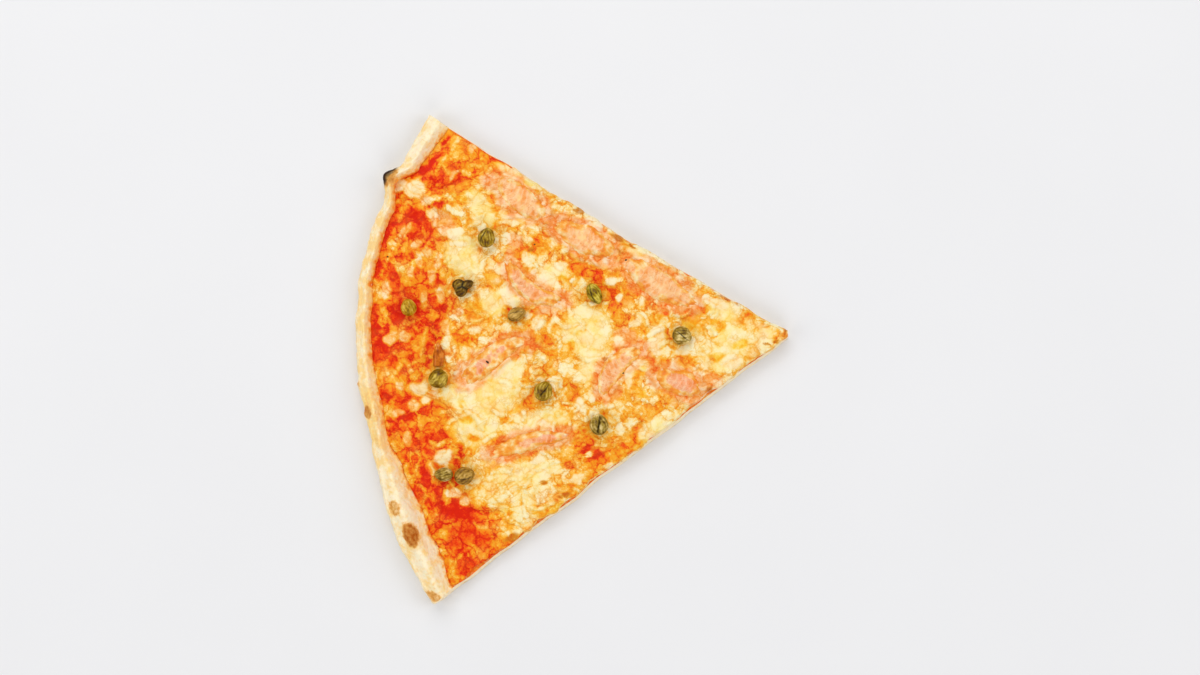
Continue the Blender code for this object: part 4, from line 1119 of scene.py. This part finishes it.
def make_flake(number, line, half_widths, bed, sizes, material):
    """One wavy flake of salmon with its bands of muscle and a frayed edge."""
    bm = bmesh.new()
    bmesh.ops.create_uvsphere(bm, u_segments=FLAKE_SEGMENTS, v_segments=FLAKE_RINGS, radius=1.0)
    line = [Vector((x, y)) * MM for x, y in line]
    widths = [Vector((half, 0)) * MM for half in half_widths]
    length = sum((b - a).length for a, b in zip(line, line[1:]))
    seed = line[0].x / MM * 0.1
    edges, bands, rosies = [], [], []
    first_rosy, last_rosy = FLAKE_ROSINESS[number - 1]
    first_glaze, last_glaze = FLAKE_GLAZE[number - 1]
    for vert in bm.verts:
        lengthwise, sideways, up = vert.co
        reach = math.hypot(lengthwise, sideways)
        spread = [math.copysign(abs(side / reach) ** SALMON_BLUNTNESS, side) if reach > 1e-6 else 0.0
                  for side in (lengthwise, sideways)]
        ragged = 1 - SALMON_RAGGED * abs(noise.noise(Vector((*spread, seed)) * SALMON_RAG_SCALE))
        ragged += FLAKE_FRAY * noise.fractal(Vector((*spread, seed)) * 5, 0.8, 2.0, 3)
        share = min(1.0, max(0.0, 0.5 + 0.5 * spread[0] * reach * ragged))
        middle, heading = along(line, share)
        normal = Vector((-heading.y, heading.x))
        flat = middle + normal * spread[1] * reach * ragged * along(widths, share)[0].x
        level = 1 - reach ** FLAKE_EDGE if up > 0 else 0.0
        wave = SALMON_WAVE * (1 + waves(flat.to_3d(), SALMON_WAVE_LENGTH, 6.0)) * level
        base = sum(bed(flat.x + dx * SALMON_BED_REACH, flat.y + dy * SALMON_BED_REACH)
                   for dx, dy in ((0, 0), (1, 0), (-1, 0), (0, 1), (0, -1))) / 5
        slant = 0.35 * abs(sideways) + 0.25 * noise.noise(Vector((flat.x, flat.y, 0)) / (4 * MM))
        band = share * length / sizes.flake_band + slant * BAND_SLANT
        ridge = FLAKE_BAND_HEIGHT * math.sin(math.tau * band) * level * (1 - reach ** 4)
        crinkle = FLAKE_CRINKLE * noise.fractal(
            Vector((flat.x, flat.y, 0)) / FLAKE_CRINKLE_LENGTH, 0.8, 2.0, 2) * level
        sunk = FLAKE_SINK * (1 - level)
        vert.co = Vector((flat.x, flat.y, base + SALMON_THICKNESS * level + wave + ridge + crinkle - sunk))
        edges.append(reach + first_glaze + (last_glaze - first_glaze) * share)
        bands.append(band)
        rosies.append(first_rosy + (last_rosy - first_rosy) * share)
    bmesh.ops.recalc_face_normals(bm, faces=bm.faces[:])
    flake = finished(f"flake_{number}", bm, material, [f"salmon_{number}"])
    give(flake, edge=edges, band=bands, rosy=rosies)
    return flake


# How each caper looks: skin tones from dark to pale, turn of its first seam round its length in
# degrees, and depth and half width of that seam in mm.
CAPER_SKINS = {
    "olive_caper": ("#5a3800", "#98760c", "#dcbe54"),
    "dark_caper": ("#3c2000", "#6a4a04", "#b08e34"),
    "yellow_caper": ("#7a5200", "#b8880c", "#dcba48"),
    "grey_caper": ("#5a3e08", "#a2842e", "#ecd28c"),
    "brown_caper": ("#6a440c", "#a87e2c", "#d8ae5c"),
    "green_caper": ("#664800", "#a4880c", "#dec84e"),
}
CAPER_LOOKS = (
    ("olive_caper", 60.0, 0.30, 0.30), ("dark_caper", 90.0, 0.5, 0.5), ("yellow_caper", 100.0, 0.10, 0.20),
    ("brown_caper", 70.0, 0.20, 0.25), ("green_caper", 120.0, 0.35, 0.35), ("grey_caper", 90.0, 0.30, 0.25),
    ("olive_caper", 20.0, 0.20, 0.25), ("olive_caper", 95.0, 0.45, 0.30), ("grey_caper", 90.0, 1.30, 0.50),
    ("grey_caper", 40.0, 0.25, 0.30), ("brown_caper", 110.0, 0.25, 0.25),
)
CAPER_SEGMENTS = 72
CAPER_RINGS = 36
CAPER_RIBS = 13


def make_caper(number, sizes, material):
    """One bud: ribs along it, closed leaves with a seam between them, a blunt point."""
    x, y, length, width, height, turn = CAPERS[number - 1]
    seam_turn, seam_depth, seam_half = CAPER_LOOKS[number - 1][1:]
    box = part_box(f"caper_{number}")
    bm = bmesh.new()
    bmesh.ops.create_uvsphere(bm, u_segments=CAPER_SEGMENTS, v_segments=CAPER_RINGS, radius=1.0)
    lobes = OPENED_LOBES if number == OPENED_CAPER else 0.0
    grooves, ribs = [], []
    for vert in bm.verts:
        unit = vert.co.copy()
        turned = math.atan2(unit.z, unit.y)
        slim = 1 - CAPER_POINT * max(0.0, unit.x)
        opened = 1 + lobes * math.cos(3 * math.atan2(unit.y, unit.x)) * math.hypot(unit.x, unit.y)
        body = Vector((unit.x * opened * length, unit.y * opened * slim * width, unit.z * slim * height)) * MM / 2
        fade = 1 - unit.x ** 4
        twist = turned + 0.5 * unit.x
        rib = math.sin(CAPER_RIBS * twist + 2.5 * noise.noise(unit * 2 + Vector((number, 0, 0)))) * fade
        groove = 0.0
        for leaf, share in ((0, 1.0), (1, 0.6), (2, 0.6)):
            seam = math.radians(seam_turn + 120 * leaf) + 0.35 * unit.x
            apart = abs((turned - seam + math.pi) % math.tau - math.pi) * width / 2
            if number == OPENED_CAPER:
                toward = Vector((-1, 0)).lerp(Vector((0.5, 0.87)), leaf) if leaf < 2 else Vector((0.5, -0.87))
                ahead = unit.x * toward.x + unit.y * toward.y
                aside = unit.x * toward.y - unit.y * toward.x
                apart = math.hypot(aside, min(0.0, ahead)) * width / 2
                share = 1.0
            groove = max(groove, share * math.exp(-(apart / seam_half) ** 2) * max(0.0, 1 - unit.x ** 2) ** 0.5)
        wrinkle = noise.fractal(unit * 3 + Vector((number * 3, 0, 0)), 0.8, 2.0, 3)
        outward = unit.normalized()
        body += outward * (sizes.caper_rib * (rib + 0.8 * wrinkle) - seam_depth * MM * groove)
        vert.co = body
        # The seam's depth also sets how dark its painted shade is.
        grooves.append(min(1.0, groove * min(1.0, seam_depth / 0.3)))
        ribs.append(0.16 * rib * (0.7 + noise.noise(unit * 2.5 + Vector((0, number, 0)))))
    middle = Vector((x * MM, y * MM, (box[0].z + box[1].z) / 2))
    placed = Matrix.Translation(middle) @ Matrix.Rotation(math.radians(turn), 4, "Z")
    bmesh.ops.transform(bm, matrix=placed, verts=bm.verts[:])
    bmesh.ops.recalc_face_normals(bm, faces=bm.faces[:])
    caper = finished(f"bud_{number}", bm, material, [f"caper_{number}"])
    give(caper, groove=grooves, rib=ribs)
    return caper


STALK_RIBS = 9
STALK_TAPER = 0.4
STALK_BEND = 0.12
STALK_BLUNTNESS = 2.6


def make_stalk():
    """The caper's browned stalk: a flat sliver, ribbed along its length, pointed at its far end."""
    low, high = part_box("caper_stalk")
    middle, half = (low + high) / 2, (high - low) / 2
    bm = bmesh.new()
    bmesh.ops.create_uvsphere(bm, u_segments=48, v_segments=32, radius=1.0)
    ribs = []
    for vert in bm.verts:
        unit = vert.co.copy()
        girth = math.hypot(unit.x, unit.z)
        blunt = min(1.0, STALK_BLUNTNESS * girth) / max(girth, 1e-6) if unit.y < 0 else 1.0
        unit.x *= blunt
        unit.z *= blunt
        slim = 1 - STALK_TAPER * max(0.0, unit.y) + 0.12 * min(0.0, unit.y)
        rib = math.sin(STALK_RIBS * unit.x + 2 * noise.noise(unit * 2))
        bend = STALK_BEND * (1 - unit.y ** 2)
        vert.co = middle + Vector((
            half.x * (unit.x * slim + bend - STALK_BEND / 2), half.y * unit.y,
            half.z * unit.z * slim + 0.05 * MM * rib))
        ribs.append(0.05 * rib)
    bmesh.ops.recalc_face_normals(bm, faces=bm.faces[:])
    stalk = finished("stalk", bm, caper_material("browned_stalk", "#8a3400", "#c4640a", "#ee9a36"), ["caper_stalk"])
    give(stalk, groove=[0.0] * len(ribs), rib=ribs)
    return stalk


# Burnt specks on the toppings: place, half length, half width and direction.
SPECKS = ((-31.1, -0.7, 0.75, 0.35, -40), (19.2, -4.8, 0.35, 0.3, 0), (20.3, 37.2, 0.5, 0.3, 20),
          (-13.7, 43.0, 0.3, 0.25, 0), (-68.6, 38.5, 0.35, 0.25, 0))


def make_specks(ground):
    """A few burnt specks that lie on the toppings."""
    bm = bmesh.new()
    for x, y, half_length, half_width, turn in SPECKS:
        made = bmesh.ops.create_icosphere(bm, subdivisions=2, radius=1.0)["verts"]
        height = ground(x * MM, y * MM)
        placed = (Matrix.Translation((x * MM, y * MM, height)) @ Matrix.Rotation(math.radians(turn), 4, "Z")
                  @ Matrix.Diagonal((half_length * MM, half_width * MM, 0.25 * MM, 1)))
        bmesh.ops.transform(bm, matrix=placed, verts=made)
    material, tree, shader = new_material("burnt_speck", 0.6, 0.3)
    place = add(tree, "TexCoord", out="Object")
    grain = add(tree, "TexNoise", {"Vector": place, "Scale": per(0.4 * MM)})
    tone = add(tree, "ValToRGB", (grain,), stops=((0.3, "#0b0704"), (0.8, "#3a2412")))
    tree.links.new(tone, shader.inputs["Base Color"])
    return finished("burnt_specks", bm, material, [])


FLOOR_SIZE = 3.0
VIEW_MIDDLE = Vector((10.6, 8.4)) * MM
LENS = 50.0
SENSOR = 36.0
WORLD_STRENGTH = 0.44
LIGHT_PLACES = (("key", (-0.10, 0.75, 0.80), 0.9), ("left", (-0.85, -0.15, 0.65), 0.8),
                ("right", (0.85, 0.10, 0.65), 0.8), ("front", (0.15, -0.85, 0.60), 0.8),
                ("glint", (-0.55, 0.60, 0.95), 0.14))


def make_stage(sizes, colours):
    """A plain pale floor, soft studio lights and a camera that looks straight down."""
    bm = bmesh.new()
    bmesh.ops.create_grid(bm, x_segments=1, y_segments=1, size=FLOOR_SIZE / 2)
    mesh = bpy.data.meshes.new("floor")
    bm.to_mesh(mesh)
    bm.free()
    floor = bpy.data.objects.new("floor", mesh)
    bpy.context.scene.collection.objects.link(floor)
    material, tree, shader = new_material("pale_laminate", 0.6, 0.2)
    place = add(tree, "TexCoord", out="Object")
    cloud = add(tree, "TexNoise", {"Vector": place, "Scale": per(90 * MM), "Detail": 4.0})
    tone = add(tree, "MapRange", (cloud, 0.3, 0.7, 0.985, 1.0))
    shade = add(tree, "Mix", (1.0, (*colours.floor, 1), tone), blend_type="MULTIPLY")
    tree.links.new(shade, shader.inputs["Base Color"])
    mesh.materials.append(material)

    world = bpy.data.worlds.new("soft_room")
    world.use_nodes = True
    world.node_tree.nodes["Background"].inputs["Color"].default_value = (*linear("#fbfbff"), 1)
    world.node_tree.nodes["Background"].inputs["Strength"].default_value = WORLD_STRENGTH
    bpy.context.scene.world = world
    for name, place, size in LIGHT_PLACES:
        data = bpy.data.lights.new(f"{name}_light", "AREA")
        data.shape = "DISK"
        data.size = size
        data.energy = {"key": sizes.key_power, "glint": sizes.glint_power}.get(name, sizes.fill_power)
        light = bpy.data.objects.new(f"{name}_light", data)
        light.location = place
        light.rotation_euler = (-Vector(place)).to_track_quat("-Z", "Y").to_euler()
        bpy.context.scene.collection.objects.link(light)

    data = bpy.data.cameras.new("overhead_camera")
    data.lens = LENS
    data.sensor_width = SENSOR
    data.clip_start = 10 * MM
    camera = bpy.data.objects.new("overhead_camera", data)
    camera.location = (*VIEW_MIDDLE, sizes.camera_height)
    bpy.context.scene.collection.objects.link(camera)
    bpy.context.scene.camera = camera
    bpy.context.scene.view_settings.view_transform = "Standard"


class PIZZA_SLICE_OT_crust(bpy.types.Operator):
    """Makes the dough with its rim, cut sides and underside"""

    bl_idname = "pizza_slice.crust"
    bl_label = "Dough and rim"

    def execute(self, context):
        make_crust(context.scene.slice_sizes, context.scene.slice_colours)
        return {"FINISHED"}


class PIZZA_SLICE_OT_layers(bpy.types.Operator):
    """Makes the tomato sauce and the melted cheese over it"""

    bl_idname = "pizza_slice.layers"
    bl_label = "Sauce and cheese"

    def execute(self, context):
        make_sauce(context.scene.slice_sizes)
        make_cheese(context.scene.slice_sizes)
        return {"FINISHED"}


class PIZZA_SLICE_OT_salmon(bpy.types.Operator):
    """Makes the flakes of smoked salmon on the cheese"""

    bl_idname = "pizza_slice.salmon"
    bl_label = "Smoked salmon"

    def execute(self, context):
        context.view_layer.update()
        bed = surface_under([bpy.data.objects["sauce"], bpy.data.objects["cheese"]])
        material = salmon_material()
        for number, (line, half_widths) in enumerate(SALMON, 1):
            make_flake(number, line, half_widths, bed, context.scene.slice_sizes, material)
        return {"FINISHED"}


class PIZZA_SLICE_OT_capers(bpy.types.Operator):
    """Makes the capers and the browned stalk"""

    bl_idname = "pizza_slice.capers"
    bl_label = "Capers and stalk"

    def execute(self, context):
        skins = {name: caper_material(name, *tones) for name, tones in CAPER_SKINS.items()}
        for number, look in enumerate(CAPER_LOOKS, 1):
            make_caper(number, context.scene.slice_sizes, skins[look[0]])
        make_stalk()
        return {"FINISHED"}


class PIZZA_SLICE_OT_specks(bpy.types.Operator):
    """Makes the burnt specks that lie on the toppings"""

    bl_idname = "pizza_slice.specks"
    bl_label = "Burnt specks"

    def execute(self, context):
        context.view_layer.update()
        names = ["sauce", "cheese"] + [f"flake_{number}" for number in range(1, len(SALMON) + 1)]
        make_specks(surface_under([bpy.data.objects[name] for name in names]))
        return {"FINISHED"}


class PIZZA_SLICE_OT_stage(bpy.types.Operator):
    """Makes the floor, the lights and the camera"""

    bl_idname = "pizza_slice.stage"
    bl_label = "Floor, lights and camera"

    def execute(self, context):
        make_stage(context.scene.slice_sizes, context.scene.slice_colours)
        return {"FINISHED"}


OPERATORS = (PIZZA_SLICE_OT_stage, PIZZA_SLICE_OT_crust, PIZZA_SLICE_OT_layers, PIZZA_SLICE_OT_salmon,
             PIZZA_SLICE_OT_capers, PIZZA_SLICE_OT_specks)


class PIZZA_SLICE_PT_panel(bpy.types.Panel):
    """Lists the steps that make the slice, with its sizes and colours"""

    bl_idname = "PIZZA_SLICE_PT_panel"
    bl_label = "Pizza slice"
    bl_space_type = "VIEW_3D"
    bl_region_type = "UI"
    bl_category = "Pizza slice"

    def draw(self, context):
        for operator in OPERATORS:
            self.layout.operator(operator.bl_idname)
        for group in (context.scene.slice_sizes, context.scene.slice_colours):
            for name in group.__annotations__:
                self.layout.prop(group, name)


CLASSES = (SliceSizes, SliceColours, *OPERATORS, PIZZA_SLICE_PT_panel)


def register():
    for item in CLASSES:
        bpy.utils.register_class(item)
    bpy.types.Scene.slice_sizes = bpy.props.PointerProperty(type=SliceSizes)
    bpy.types.Scene.slice_colours = bpy.props.PointerProperty(type=SliceColours)


def unregister():
    del bpy.types.Scene.slice_colours
    del bpy.types.Scene.slice_sizes
    for item in reversed(CLASSES):
        bpy.utils.unregister_class(item)


def main():
    register()
    bpy.ops.pizza_slice.stage()
    bpy.ops.pizza_slice.crust()
    bpy.ops.pizza_slice.layers()
    bpy.ops.pizza_slice.salmon()
    bpy.ops.pizza_slice.capers()
    bpy.ops.pizza_slice.specks()


if __name__ == "__main__":
    main()
